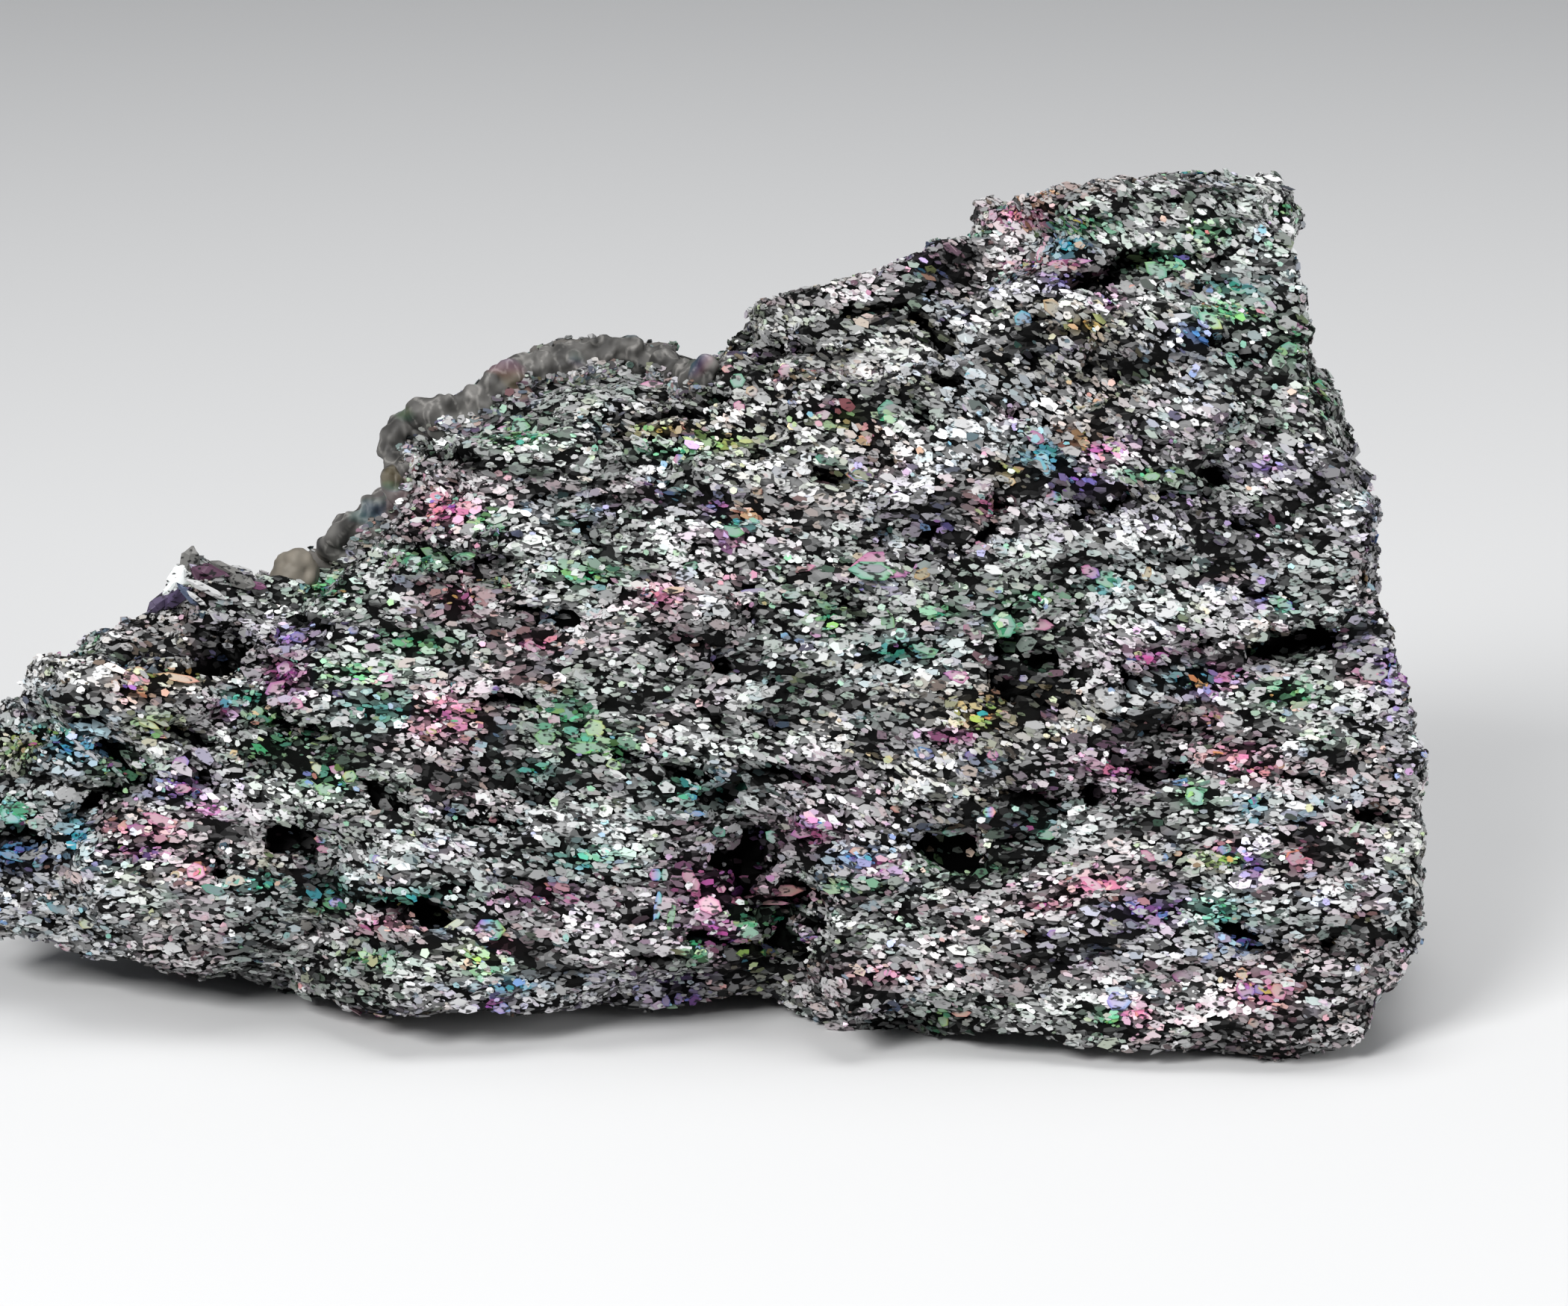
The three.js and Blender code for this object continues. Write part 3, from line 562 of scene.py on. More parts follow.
def filmed_with_pore_shade(tree, shader):
    """Links a shader's colour to the oxide film, with the painted shade of the pits in it."""
    pits_node = tree.nodes.new("ShaderNodeGroup")
    pits_node.node_tree = painted_pore_shade
    filmed = film_colour(tree, ("tone", "phase", "veil"))
    pore_shaded = blend(tree, "MULTIPLY", filmed, pits_node.outputs["Pore_shade_factor"], 1.0)
    tree.links.new(pore_shaded, shader.inputs["Base Color"])


def set_values(mesh, values):
    """Stores columns of numbers on the points of a mesh, for its material."""
    for key, column in values.items():
        mesh.attributes.new(key, "FLOAT", "POINT").data.foreach_set("value", column)


crust_phase, crust_veil = film_at(places, spots, facing)
# Values for the crust's colour. Painted shade: the crevice factor is 0 deep in the crevices, where
# the crust is painted black as shade falls there.
set_values(crust.data, {
    "tone_and_painted_light": lightness(places, spots, facing),
    "crevice_shade_factor": 1 - hollow,
    "phase": crust_phase % 1.0,
    "veil": 0.85 * crust_veil,
    "dull": dull,
})

DULL_COLOUR = (0.115, 0.108, 0.1, 1)

crust_finish, tree, shader = carbide("black_carbide", 0.7, 0.0, 0.04)
where = tree.nodes.new("ShaderNodeTexCoord")
turn = tree.nodes.new("ShaderNodeMapping")
turn.inputs["Rotation"].default_value = (LEAN, 0, 0)
turn.inputs["Scale"].default_value = (1 / (0.62 * MM), 1 / (0.6 * MM), 1 / (0.34 * MM))
cells = tree.nodes.new("ShaderNodeTexVoronoi")
cells.inputs["Scale"].default_value = 1.0
cells.inputs["Randomness"].default_value = 1.0
cell_tone = tree.nodes.new("ShaderNodeSeparateColor")
# The crust's cells grow lighter with the lightness of the place, which holds random tone and the
# painted light and shade of the named patches.
patch_and_cell_tone = tree.nodes.new("ShaderNodeMath")
patch_and_cell_tone.operation = "MULTIPLY_ADD"
patch_and_cell_tone.inputs[1].default_value = 0.45
tones = tree.nodes.new("ShaderNodeValToRGB")
tones.color_ramp.interpolation = "CONSTANT"
for place, tone in ((0.72, 0.018), (0.86, 0.05), (0.94, 0.13)):
    tones.color_ramp.elements.new(place).color = (tone, tone, tone, 1)
tones.color_ramp.elements[0].color = (0.004, 0.004, 0.005, 1)
tones.color_ramp.elements[-1].color = (0.2, 0.2, 0.2, 1)
# Painted shade: the tones are multiplied by the crevice factor, so the crust is painted black deep
# in its crevices.
crevice_shaded = tree.nodes.new("ShaderNodeMath")
crevice_shaded.operation = "MULTIPLY"
tree.links.new(where.outputs["Object"], turn.inputs["Vector"])
tree.links.new(turn.outputs["Vector"], cells.inputs["Vector"])
tree.links.new(cells.outputs["Color"], cell_tone.inputs["Color"])
tree.links.new(attribute(tree, "tone_and_painted_light"), patch_and_cell_tone.inputs[0])
tree.links.new(cell_tone.outputs["Red"], patch_and_cell_tone.inputs[2])
tree.links.new(patch_and_cell_tone.outputs["Value"], tones.inputs["Fac"])
tree.links.new(tones.outputs["Color"], crevice_shaded.inputs[0])
tree.links.new(attribute(tree, "crevice_shade_factor"), crevice_shaded.inputs[1])
filmed = film_colour(tree, ("phase", "veil"))
filmed = blend(tree, "MULTIPLY", filmed, crevice_shaded.outputs["Value"], 1.0)
dulled = blend(tree, "MIX", filmed, DULL_COLOUR, attribute(tree, "dull"))
tree.links.new(dulled, shader.inputs["Base Color"])
bump = tree.nodes.new("ShaderNodeBump")
bump.inputs["Strength"].default_value = 0.6
bump.inputs["Distance"].default_value = 0.15 * MM
tree.links.new(cell_tone.outputs["Blue"], bump.inputs["Height"])
tree.links.new(bump.outputs["Normal"], shader.inputs["Normal"])
crust.data.materials.clear()
crust.data.materials.append(crust_finish)
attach(crust, "root")
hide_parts("crystal_mass")


# ---------------------------------------------------------------- the flakes
# Small plates of carbide, a fraction of a millimetre across, that lie on the crust like scales
# along the edges of the beds, each with a flat lustrous top and its foot grown into the crust.

FLAKES = 84000
FLAKE_GROUPS = 5
FLAKE_LONG = 0.77  # mm, the middle length of a flake
FLAKE_SPREAD = 0.38  # how widely the lengths spread
FLAKE_FOOT = 0.4  # mm that the foot reaches into the crust
FLAKE_SLOPE, FLAKE_STEEPER = -10.0, -17.0  # degrees: they fall to the right, steeper up there
TONE_LEAST, TONE_RISE, TONE_CONTRAST = 0.12, 0.54, 0.3  # from the lightness of the place
TONE_LIMITS = (0.005, 0.74)
SOOTY_FLAKES, STRAY_FILMS = 0.12, 0.09  # share of the flakes
PAINTED_GLINTS = 0.05  # share of the flakes that are round and painted bright, as glints
PAINTED_GLINT_TONES = (0.58, 0.8)
FLAKE_SEED = 11

rng = np.random.default_rng(FLAKE_SEED)


def surface_of(mesh):
    """Corners, face normals and areas of a triangle mesh, in mm."""
    corners = np.empty(len(mesh.polygons) * 3, int)
    mesh.polygons.foreach_get("vertices", corners)
    flat = np.empty(len(mesh.polygons) * 3)
    mesh.polygons.foreach_get("normal", flat)
    area = np.empty(len(mesh.polygons))
    mesh.polygons.foreach_get("area", area)
    return corners.reshape(-1, 3), flat.reshape(-1, 3), area / MM**2


skin_points = points_of(crust.data)
skin_normals = normals_of(crust.data)
corners, face_normals, areas = surface_of(crust.data)
under = ease(-face_normals[:, 2], 0.5, 0.9) * (1 - ease(skin_points[corners, 2].mean(1), 2, 6))
chance = areas * (1 - 0.8 * under)
picked = rng.choice(len(corners), 3 * FLAKES, p=chance / chance.sum())
share = rng.dirichlet((1, 1, 1), len(picked))
centre = np.einsum("nk,nkd->nd", share, skin_points[corners[picked]])
toward = np.einsum("nk,nkd->nd", share, skin_normals[corners[picked]])
open_to = (share * hollow[corners[picked]]).sum(1)
dull_here = (share * dull[corners[picked]]).sum(1)
flake_places = in_beds(centre)
bent = bent_beds(flake_places, 0.5, (5, 5, 3), 13.7)
gap = 1 - ease(np.abs(waves(bent, (3.4, 3.4, 0.62), 19.3)), 0.03, 0.16)
nick = 1 - ease(np.abs(waves(bent, (1.7, 1.7, 0.42), 29.3)), 0.02, 0.12)
flake_facing = ease(-(toward * unit(centre - eye)).sum(1), 0.0, 0.3)
light = lightness(flake_places, in_picture(centre), flake_facing)
keep = (1 - 0.84 * ease(open_to, 0.25, 0.8)) * (1 - 0.9 * gap * (1 - 0.5 * light))
keep *= (1 - 0.75 * dull_here) * (0.45 + 0.55 * ease(light, 0.1, 0.55)) * (1 - 0.6 * nick)
kept = np.flatnonzero(rng.random(len(picked)) < keep)[:FLAKES]
count = len(kept)
picked, centre, toward = picked[kept], centre[kept], unit(toward[kept])
open_to, dull_here, flake_places = open_to[kept], dull_here[kept], flake_places[kept]
light, facing = light[kept], flake_facing[kept]
top = unit(0.2 * face_normals[picked] + 0.8 * toward + 0.15 * rng.normal(0, 1, (count, 3)))

steeper = ease(flake_places[:, 0], 4, 28) * ease(centre @ up, 16, 34)
slope_here = FLAKE_SLOPE + FLAKE_STEEPER * steeper + 26 * waves(flake_places, (14, 14, 9), 33.3)
slope_here = np.radians(slope_here)
bed_up = np.cos(slope_here)[:, None] * up - np.sin(slope_here)[:, None] * np.array([1.0, 0, 0])
along = unit(np.cross(bed_up, top) + 0.22 * rng.normal(0, 1, (count, 3)))
along = unit(along - top * (along * top).sum(1)[:, None])
across = np.cross(top, along)

small = np.where(rng.random(count) < 0.3, 0.55, 1.0)
long = np.clip(FLAKE_LONG * small * np.exp(FLAKE_SPREAD * rng.normal(0, 1, count)), 0.28, 1.7)
wide = long * rng.uniform(0.32, 0.62, count)
lift = rng.uniform(0.03, 0.25, count)

# Tone, film phase and veil of each flake.
# The tone follows the lightness of the place, which holds random tone and the painted light and
# shade of the named patches.
tone = TONE_LEAST + TONE_RISE * light + TONE_CONTRAST * (light - 0.5) * np.abs(light - 0.5)
tone *= np.where(rng.random(count) < SOOTY_FLAKES, 0.15, rng.uniform(0.72, 1.22, count))
# Painted shade: flakes deep in the crevices get a darker tone, for the shade that falls there.
tone *= 1 - 0.8 * ease(open_to, 0.1, 0.7)
phase, veil = film_at(flake_places, in_picture(centre), facing)
phase += rng.normal(0, 0.045, count)
stray = rng.random(count) < STRAY_FILMS
phase[stray] = rng.random(stray.sum())
veil = np.where(rng.random(count) < 0.2 + 0.7 * veil, veil * rng.uniform(0.6, 1.15, count), 0)
veil = np.maximum(veil, 0.24 * rng.random(count) ** 2)
# Painted highlights: a share of the flakes, round and a little raised, get a bright tone in their
# colour as glints, some of them tinted by the film.
painted_glint = rng.random(count) < PAINTED_GLINTS * (1 + 2.2 * waves(flake_places, (7, 7, 4), 44.1))
tone[painted_glint] = rng.uniform(*PAINTED_GLINT_TONES, painted_glint.sum())
tinted = rng.random(painted_glint.sum()) < 0.4
veil[painted_glint] = np.where(tinted, rng.uniform(0.3, 0.75, painted_glint.sum()), 0.4 * veil[painted_glint])
long[painted_glint] = rng.uniform(0.4, 0.75, painted_glint.sum())
wide[painted_glint] = long[painted_glint] * rng.uniform(0.65, 1.0, painted_glint.sum())
lift[painted_glint] += 0.1
tone = np.where(dull_here > 0.4, 0.16 * rng.uniform(0.6, 1.6, count), tone)
tone = np.clip(tone, *TONE_LIMITS)
veil = np.clip(veil, 0, 1)
phase = phase % 1.0


def flake_form(sides):
    """Points, faces and bake spots of one flake: a flat top, and a point for its foot."""
    angles = (np.arange(sides) + 0.5) * 2 * math.pi / sides
    flat_top = np.stack([np.cos(angles), np.sin(angles), np.zeros(sides)], 1)
    points = np.vstack([flat_top, [[0, 0, -1]]])
    faces = [[0, k, k + 1] for k in range(1, sides - 1)]
    faces += [[k, sides, (k + 1) % sides] for k in range(sides)]
    flat = 0.5 * flat_top[:, :2]
    spots = [[flat[0], flat[k], flat[k + 1]] for k in range(1, sides - 1)]
    for k in range(sides):
        foot = angles[k] + math.pi / sides
        foot_spot = 0.95 * np.array([math.cos(foot), math.sin(foot)])
        spots.append([flat[k], foot_spot, flat[(k + 1) % sides]])
    return points, np.array(faces), np.array(spots)


def joined(name, points, faces, values, spots=None):
    """One mesh object out of many small pieces, with its values per point and its bake map."""
    mesh = bpy.data.meshes.new(name)
    mesh.vertices.add(len(points))
    mesh.vertices.foreach_set("co", (points * MM).ravel())
    mesh.loops.add(faces.size)
    mesh.loops.foreach_set("vertex_index", faces.ravel())
    mesh.polygons.add(len(faces))
    mesh.polygons.foreach_set("loop_start", np.arange(len(faces)) * 3)
    mesh.update(calc_edges=True)
    set_values(mesh, values)
    if spots is not None:
        mesh.uv_layers.new(name="OFBake").uv.foreach_set("vector", spots.ravel())
    mesh.validate()
    mesh.shade_flat()
    piece = bpy.data.objects.new(name, mesh)
    bpy.context.collection.objects.link(piece)
    return piece


flake_finish, tree, shader = carbide("silver_flakes", 0.45, 0.2, 0.32)
filmed_with_pore_shade(tree, shader)


def grown_flakes(name, sides, level, top, ways, values):
    """One piece of flakes at their places, each with its upward way and its two half widths."""
    form, faces, uv_form = flake_form(sides)
    count = len(level)
    uneven = rng.uniform(0.75, 1.1, (count, sides + 1, 1))
    uneven[:, -1] = 1
    local = form[None] * uneven
    body = local[:, :, :1] * ways[0][:, None] + local[:, :, 1:2] * ways[1][:, None]
    body += local[:, :, 2:] * (top * FLAKE_FOOT)[:, None] + level[:, None]
    body[:, :, 2] = np.maximum(body[:, :, 2], 0.0)
    indices = faces[None] + (np.arange(count) * (sides + 1))[:, None, None]
    row = math.ceil(math.sqrt(count))
    cell = np.stack([np.arange(count) % row + 0.5, np.arange(count) // row + 0.5], 1) / row
    uv = cell[:, None, None, :] + uv_form[None] * 0.5 / row
    values = {key: np.repeat(value, sides + 1) for key, value in values.items()}
    flakes = joined(name, body.reshape(-1, 3), indices.reshape(-1, 3), values, uv)
    flakes.data.materials.append(flake_finish)
    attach(flakes, "root")


level = centre + top * lift[:, None]
along *= long[:, None] / 2
across *= wide[:, None] / 2
for group in range(FLAKE_GROUPS):
    mine = np.arange(group, count, FLAKE_GROUPS)
    values = {"tone": tone[mine], "phase": phase[mine], "veil": veil[mine]}
    ways = (along[mine], across[mine])
    sides = 6 if group % 2 else 5
    grown_flakes(f"flakes_{group + 1}", sides, level[mine], top[mine], ways, values)


# ---------------------------------------------------------------- the plates
# The larger crystals, flat hexagonal or oval plates of carbide some millimetres across with a
# bevelled edge. They stand out of the crust, and the oxide film shows best on their clean tops.

# The plates of the broad face: place in pixels, length and width in mm, turn in degrees, and the
# film colour at the one end and at the other.
NAMED_PLATES = (
    (1186, 757, 4.9, 2.0, 2, "pink", "magenta"), (1236, 768, 1.3, 0.8, 24, "gold", "gold"),
    (1170, 764, 3.3, 1.4, -2, "teal", "green"), (1170, 761, 2.0, 0.6, -3, None, None),
    (1185, 792, 3.4, 0.8, -3, "violet", None), (1188, 832, 1.0, 2.1, 20, "green", "green"),
    (1206, 850, 0.9, 0.9, 0, "teal", "teal"), (1236, 868, 1.9, 0.7, -22, "teal", "green"),
    (1346, 838, 1.5, 1.7, 0, "green", "teal"), (1386, 836, 2.6, 0.9, -6, "pink", "pink"),
    (1352, 868, 2.1, 0.9, -4, "green", "green"), (1322, 816, 1.3, 0.9, 0, "teal", "teal"),
    (1303, 845, 1.8, 1.0, -48, "pink", None), (697, 575, 1.4, 1.6, 10, "teal", "green"),
    (655, 562, 2.4, 1.1, 8, "magenta", None), (765, 952, 1.9, 1.9, 0, "teal", "teal"),
    (797, 976, 1.6, 1.3, -10, "green", "lime"), (732, 986, 1.5, 1.2, 0, "green", "green"),
    (790, 1002, 3.2, 1.0, -3, "green", "green"), (821, 1023, 1.4, 0.7, -22, "lime", "green"),
    (742, 966, 0.9, 0.9, 40, "pink", None), (925, 1180, 2.1, 1.1, -62, "pink", "pink"),
    (950, 1213, 1.8, 1.3, -25, "pink", "pink"), (966, 1190, 0.7, 0.6, 0, "pink", "pink"),
    (1045, 1192, 3.2, 0.9, -3, "pink", "orange"), (1032, 1209, 2.6, 0.35, -2, "orange", "pink"),
    (878, 1172, 0.9, 0.9, 0, "pink", "teal"), (880, 1216, 0.6, 2.1, -8, "violet", "teal"),
    (899, 1226, 0.5, 2.2, -12, "green", "green"), (1078, 1113, 2.0, 0.9, 14, "magenta", "pink"),
    (930, 1088, 1.7, 0.4, -8, "blue", "blue"), (1036, 1120, 1.1, 0.9, -30, "teal", None),
    (962, 1112, 1.4, 0.8, -40, "teal", "teal"), (16, 1090, 1.7, 1.6, 0, "teal", "cyan"),
    (388, 898, 2.1, 1.3, -15, "magenta", "magenta"), (374, 925, 1.9, 1.5, 10, "magenta", "pink"),
    (396, 942, 1.2, 0.8, -25, "magenta", "pink"), (343, 954, 1.1, 1.2, 0, "green", "green"),
    (438, 1058, 1.7, 1.0, -14, "green", "green"), (468, 1040, 1.0, 0.9, 0, "lime", "green"),
    (428, 1030, 1.5, 0.7, -38, "lime", None), (197, 968, 2.0, 0.5, -26, "lime", "lime"),
    (206, 980, 2.0, 0.5, -26, "lime", "gold"), (214, 966, 1.7, 0.4, -28, "lime", None),
    (190, 900, 1.4, 0.6, -22, "gold", "orange"), (240, 908, 3.0, 0.6, -10, "gold", "orange"),
    (216, 1100, 2.6, 0.9, -22, "pink", "pink"), (188, 1112, 1.9, 0.8, -12, "magenta", "pink"),
    (262, 1168, 1.4, 1.2, -20, "pink", "pink"), (235, 1172, 0.7, 0.6, 0, "gold", "gold"),
    (174, 1148, 1.5, 0.7, -24, "orange", "violet"), (115, 1006, 2.6, 0.35, -36, None, None),
    (158, 1036, 2.2, 0.3, -42, "teal", None), (243, 1021, 1.2, 0.9, 10, "magenta", "violet"),
    (244, 1056, 1.3, 0.7, 0, "magenta", "pink"), (432, 1124, 1.2, 0.6, -6, "gold", "lime"),
    (436, 1137, 1.3, 0.6, -2, "pink", "pink"), (505, 1150, 0.7, 0.6, 0, "violet", "violet"),
    (655, 1246, 2.2, 1.6, 0, "pink", "lime"), (608, 1240, 2.6, 0.6, 36, "lime", None),
    (668, 1350, 1.0, 0.7, -35, "violet", "violet"), (676, 1348, 1.0, 0.5, -40, "violet", "blue"),
    (892, 1340, 0.6, 0.9, 10, "violet", "violet"), (908, 1338, 0.6, 0.9, -10, "violet", "violet"),
    (492, 1282, 1.6, 0.6, -30, "green", "lime"), (520, 1300, 0.9, 0.6, -30, "green", "green"),
    (78, 1216, 1.7, 0.8, -24, "cyan", None), (116, 1235, 1.2, 1.0, 0, "lime", None),
    (20, 1146, 2.4, 0.7, -14, "blue", "cyan"), (50, 1158, 0.9, 0.5, 0, "cyan", "cyan"),
    (402, 855, 1.6, 0.8, -16, "violet", "violet"), (372, 853, 1.2, 0.7, -8, "pink", None),
    (470, 742, 1.8, 1.4, 0, "cyan", "violet"), (556, 757, 1.4, 1.3, 0, "teal", None),
    (582, 742, 2.2, 0.7, -24, "green", "green"), (620, 746, 1.8, 0.5, 12, "teal", "green"),
    (910, 616, 0.9, 0.8, 0, "orange", "green"), (1045, 630, 1.2, 1.1, 0, None, None),
    (1015, 659, 0.7, 0.7, 0, "gold", "orange"), (1396, 614, 1.0, 0.8, -20, "cyan", "cyan"),
    (1386, 586, 1.4, 0.9, -22, "magenta", "pink"), (1411, 664, 1.3, 0.8, -24, "gold", "lime"),
    (1352, 645, 0.9, 0.6, -10, "gold", "gold"), (1543, 638, 1.2, 0.6, 6, "green", "green"),
    (1566, 632, 0.8, 0.3, 6, "blue", "blue"), (1592, 653, 2.3, 1.0, -4, "teal", None),
    (1592, 653, 1.2, 0.4, -4, None, None), (1370, 428, 1.3, 1.2, -20, "cyan", "blue"),
    (1340, 420, 1.3, 0.6, -20, "green", None), (1412, 412, 1.7, 1.1, -35, "gold", None),
    (1430, 352, 3.4, 0.5, 4, "pink", "magenta"), (1412, 378, 0.9, 0.5, 30, "violet", "violet"),
    (1395, 340, 0.6, 1.4, -14, "pink", None), (1404, 325, 0.7, 1.0, 0, "pink", None),
    (1550, 362, 1.8, 1.1, -34, "green", "teal"), (1608, 320, 1.4, 0.6, -20, "teal", "green"),
    (1626, 388, 1.3, 0.7, -12, "teal", "green"), (1658, 388, 1.2, 0.6, -6, "green", "teal"),
    (1600, 420, 0.7, 0.9, 0, "teal", "teal"), (1620, 430, 2.0, 0.9, -34, "teal", "lime"),
    (1578, 425, 1.9, 0.5, 8, None, None), (1678, 404, 1.6, 0.8, -10, None, "teal"),
    (1727, 470, 1.2, 1.4, -30, "teal", "green"), (1768, 524, 0.8, 1.3, 30, "lime", "green"),
    (1516, 388, 0.6, 0.7, 0, "orange", "orange"), (1536, 768, 0.7, 1.1, -10, "gold", "gold"),
    (1460, 765, 1.5, 0.9, -28, "pink", "violet"), (1478, 778, 1.5, 0.8, -28, "teal", "green"),
    (1424, 797, 1.1, 0.6, -40, "pink", None), (1720, 810, 1.3, 0.8, -28, "green", "cyan"),
    (1285, 906, 1.8, 0.9, -12, "magenta", "pink"), (1300, 1012, 1.0, 0.8, 20, "violet", "violet"),
    (1330, 1012, 0.8, 0.8, 0, "pink", "magenta"), (1370, 908, 0.7, 0.5, 0, "violet", None),
    (1206, 1083, 1.4, 0.7, 0, "orange", "orange"), (1325, 1088, 0.9, 0.8, 0, "lime", "gold"),
    (1400, 1116, 1.5, 0.9, -8, "teal", "green"), (1430, 1154, 0.9, 0.8, 0, "green", "lime"),
    (1278, 1112, 2.0, 0.8, 8, "teal", None), (1600, 1066, 1.4, 1.2, -45, "green", "teal"),
    (1680, 1072, 0.8, 0.5, 20, "gold", "lime"), (1668, 1088, 0.6, 0.6, 0, "cyan", "cyan"),
    (1679, 1099, 0.7, 0.6, 0, "cyan", "cyan"), (1538, 1146, 1.2, 0.6, -35, "pink", "pink"),
    (1558, 1148, 0.7, 0.6, 0, "blue", "blue"), (1577, 1143, 0.7, 0.4, 0, "gold", "orange"),
    (1640, 1138, 1.3, 0.7, 20, "pink", "lime"), (1735, 1150, 1.2, 1.0, 10, "pink", None),
    (1812, 1116, 0.5, 1.9, -32, "green", None), (1462, 1184, 1.9, 0.7, -30, "pink", "pink"),
    (1508, 1182, 1.0, 0.8, 30, "pink", "magenta"), (1412, 1250, 1.1, 0.6, 10, "violet", "magenta"),
    (1365, 1250, 1.2, 0.5, -4, "gold", "orange"), (1666, 1264, 0.6, 0.9, 0, "cyan", "blue"),
    (1663, 1304, 0.9, 0.8, -30, "orange", "gold"), (1668, 1326, 1.6, 1.2, -55, "pink", "violet"),
    (1690, 1322, 1.2, 0.9, 40, "violet", "magenta"), (1712, 1328, 1.3, 1.0, -60, "orange", "pink"),
    (1678, 1370, 0.8, 0.7, 0, "orange", None), (1700, 1374, 0.7, 0.7, 0, "pink", None),
    (1288, 1356, 1.4, 0.6, 2, "orange", "orange"), (1264, 1366, 0.8, 0.9, 20, "green", "lime"),
    (1180, 1306, 1.5, 0.6, 40, "pink", None), (880, 517, 2.6, 0.7, -6, "pink", "magenta"),
    (915, 518, 1.8, 0.4, 4, "orange", "gold"), (990, 545, 0.9, 0.8, -30, "pink", "pink"),
    (1052, 496, 1.0, 0.9, 0, "pink", None), (975, 494, 0.9, 0.6, 0, "orange", "pink"),
    (1100, 556, 1.3, 0.7, 16, "pink", None), (1075, 760, 1.9, 0.6, 12, "orange", "pink"),
    (1010, 792, 2.2, 0.4, 4, "violet", None), (1060, 797, 1.4, 0.6, 0, "teal", None),
    (980, 712, 1.9, 0.8, -10, "teal", "green"), (978, 726, 1.3, 0.7, -20, "magenta", "pink"),
    (925, 757, 1.4, 0.6, 4, "green", "teal"), (715, 865, 1.4, 0.8, -10, "pink", None),
    (890, 1172, 0.5, 0.9, 0, "teal", None), (1865, 905, 0.7, 1.6, -8, "violet", None),
    (1830, 905, 1.1, 0.9, 0, "pink", "orange"), (1150, 1140, 1.3, 0.6, 0, "orange", None),
)
PLATE_LIFT = 0.2  # mm
PLATE_THICK = 0.7  # mm for each unit of the pattern, which is 0.9 thick
PLATE_STEP = 0.12  # mm from a plate to the one that lies on it
OVERLAP = 0.4  # of a plate's size: another one nearer than this lies on it
PLATE_TONES = (0.22, 0.48)
FILMED, CLEAR = 0.75, 0.1  # veil of a filmed end and of a clean one
LOOSE_PLATES = 190  # the others, over all sides
LOOSE_SMALL, LOOSE_LARGE = 0.8, 2.3  # mm long
LOOSE_TONES = (0.15, 0.5)
LOOSE_FILMED = 0.45  # share of them

bpy.ops.object.select_all(action="DESELECT")
bpy.ops.mesh.primitive_circle_add(vertices=12, radius=0.5, fill_type="NGON")
pattern = bpy.context.object
bpy.ops.object.mode_set(mode="EDIT")
bpy.ops.mesh.select_all(action="SELECT")
bpy.ops.mesh.extrude_region_move(TRANSFORM_OT_translate={"value": (0, 0, 0.8)})
bpy.ops.mesh.inset(thickness=0.04, depth=0.1)
bpy.ops.mesh.inset(thickness=0.16, depth=0)
bpy.ops.mesh.select_all(action="SELECT")
bpy.ops.mesh.normals_make_consistent(inside=False)
bpy.ops.mesh.quads_convert_to_tris()
bpy.ops.object.mode_set(mode="OBJECT")
plate_form = points_of(pattern.data) * MM
plate_faces = surface_of(pattern.data)[0]
bpy.data.objects.remove(pattern)
plate_form[:, 2] -= plate_form[:, 2].max()
radius = np.linalg.norm(plate_form[:, :2], axis=1)
foot = plate_form[:, 2] < -0.5
plate_form[foot, :2] *= 0.8
corner_turn = np.round(np.arctan2(plate_form[:, 1], plate_form[:, 0]) / (math.pi / 6)) % 2
plate_form[:, :2] *= np.where(corner_turn == 0, 1.0, 0.88)[:, None]
ring_share = ease(radius, 0.28, 0.46)

crust_tree = BVHTree.FromPolygons(skin_points.tolist(), corners.tolist())


def seen_at(across, down):
    """The point of the crust that the camera sees at a pixel, its normal and the way there."""
    right_mm = (across - PIXELS_WIDE / 2) * PIXEL
    up_mm = (PIXELS_HIGH / 2 - down) * PIXEL
    ray = look * CAMERA_AWAY + up * up_mm + np.array([right_mm, 0, 0])
    ray /= np.linalg.norm(ray)
    point, normal = crust_tree.ray_cast(Vector(eye), Vector(ray))[:2]
    return point, normal, ray


plate_rows = []
laid = []
for across, down, long_mm, wide_mm, degrees, first, last in NAMED_PLATES:
    point, normal, ray = seen_at(across, down)
    if point is None:
        continue
    faced = unit((-ray + 0.35 * np.array(normal) + 0.1 * rng.normal(0, 1, 3))[None])[0]
    level = np.array(point) + faced * PLATE_LIFT
    for other, reach, other_level, other_faced in laid:
        if (np.abs(np.array((across, down)) - other) < reach).all():
            faced = other_faced
            away = ((other_level - eye) @ faced) / (ray @ faced)
            level = eye + ray * away + faced * PLATE_STEP
    reach = OVERLAP * np.array((long_mm, wide_mm)) / PIXEL
    laid.append((np.array((across, down)), reach, level, faced))
    angle = math.radians(degrees)
    way = math.cos(angle) * np.array([1.0, 0, 0]) + math.sin(angle) * up
    begin = FILM_COLOURS[first or last][0] if first or last else 0.5
    end = FILM_COLOURS[last or first][0] if first or last else 0.5
    veils = (FILMED if first else CLEAR, FILMED if last else CLEAR)
    light = rng.uniform(*PLATE_TONES)
    plate_rows.append((level, faced, way, long_mm, wide_mm, begin, end, *veils, light))
loose = rng.choice(len(centre), LOOSE_PLATES, replace=False)
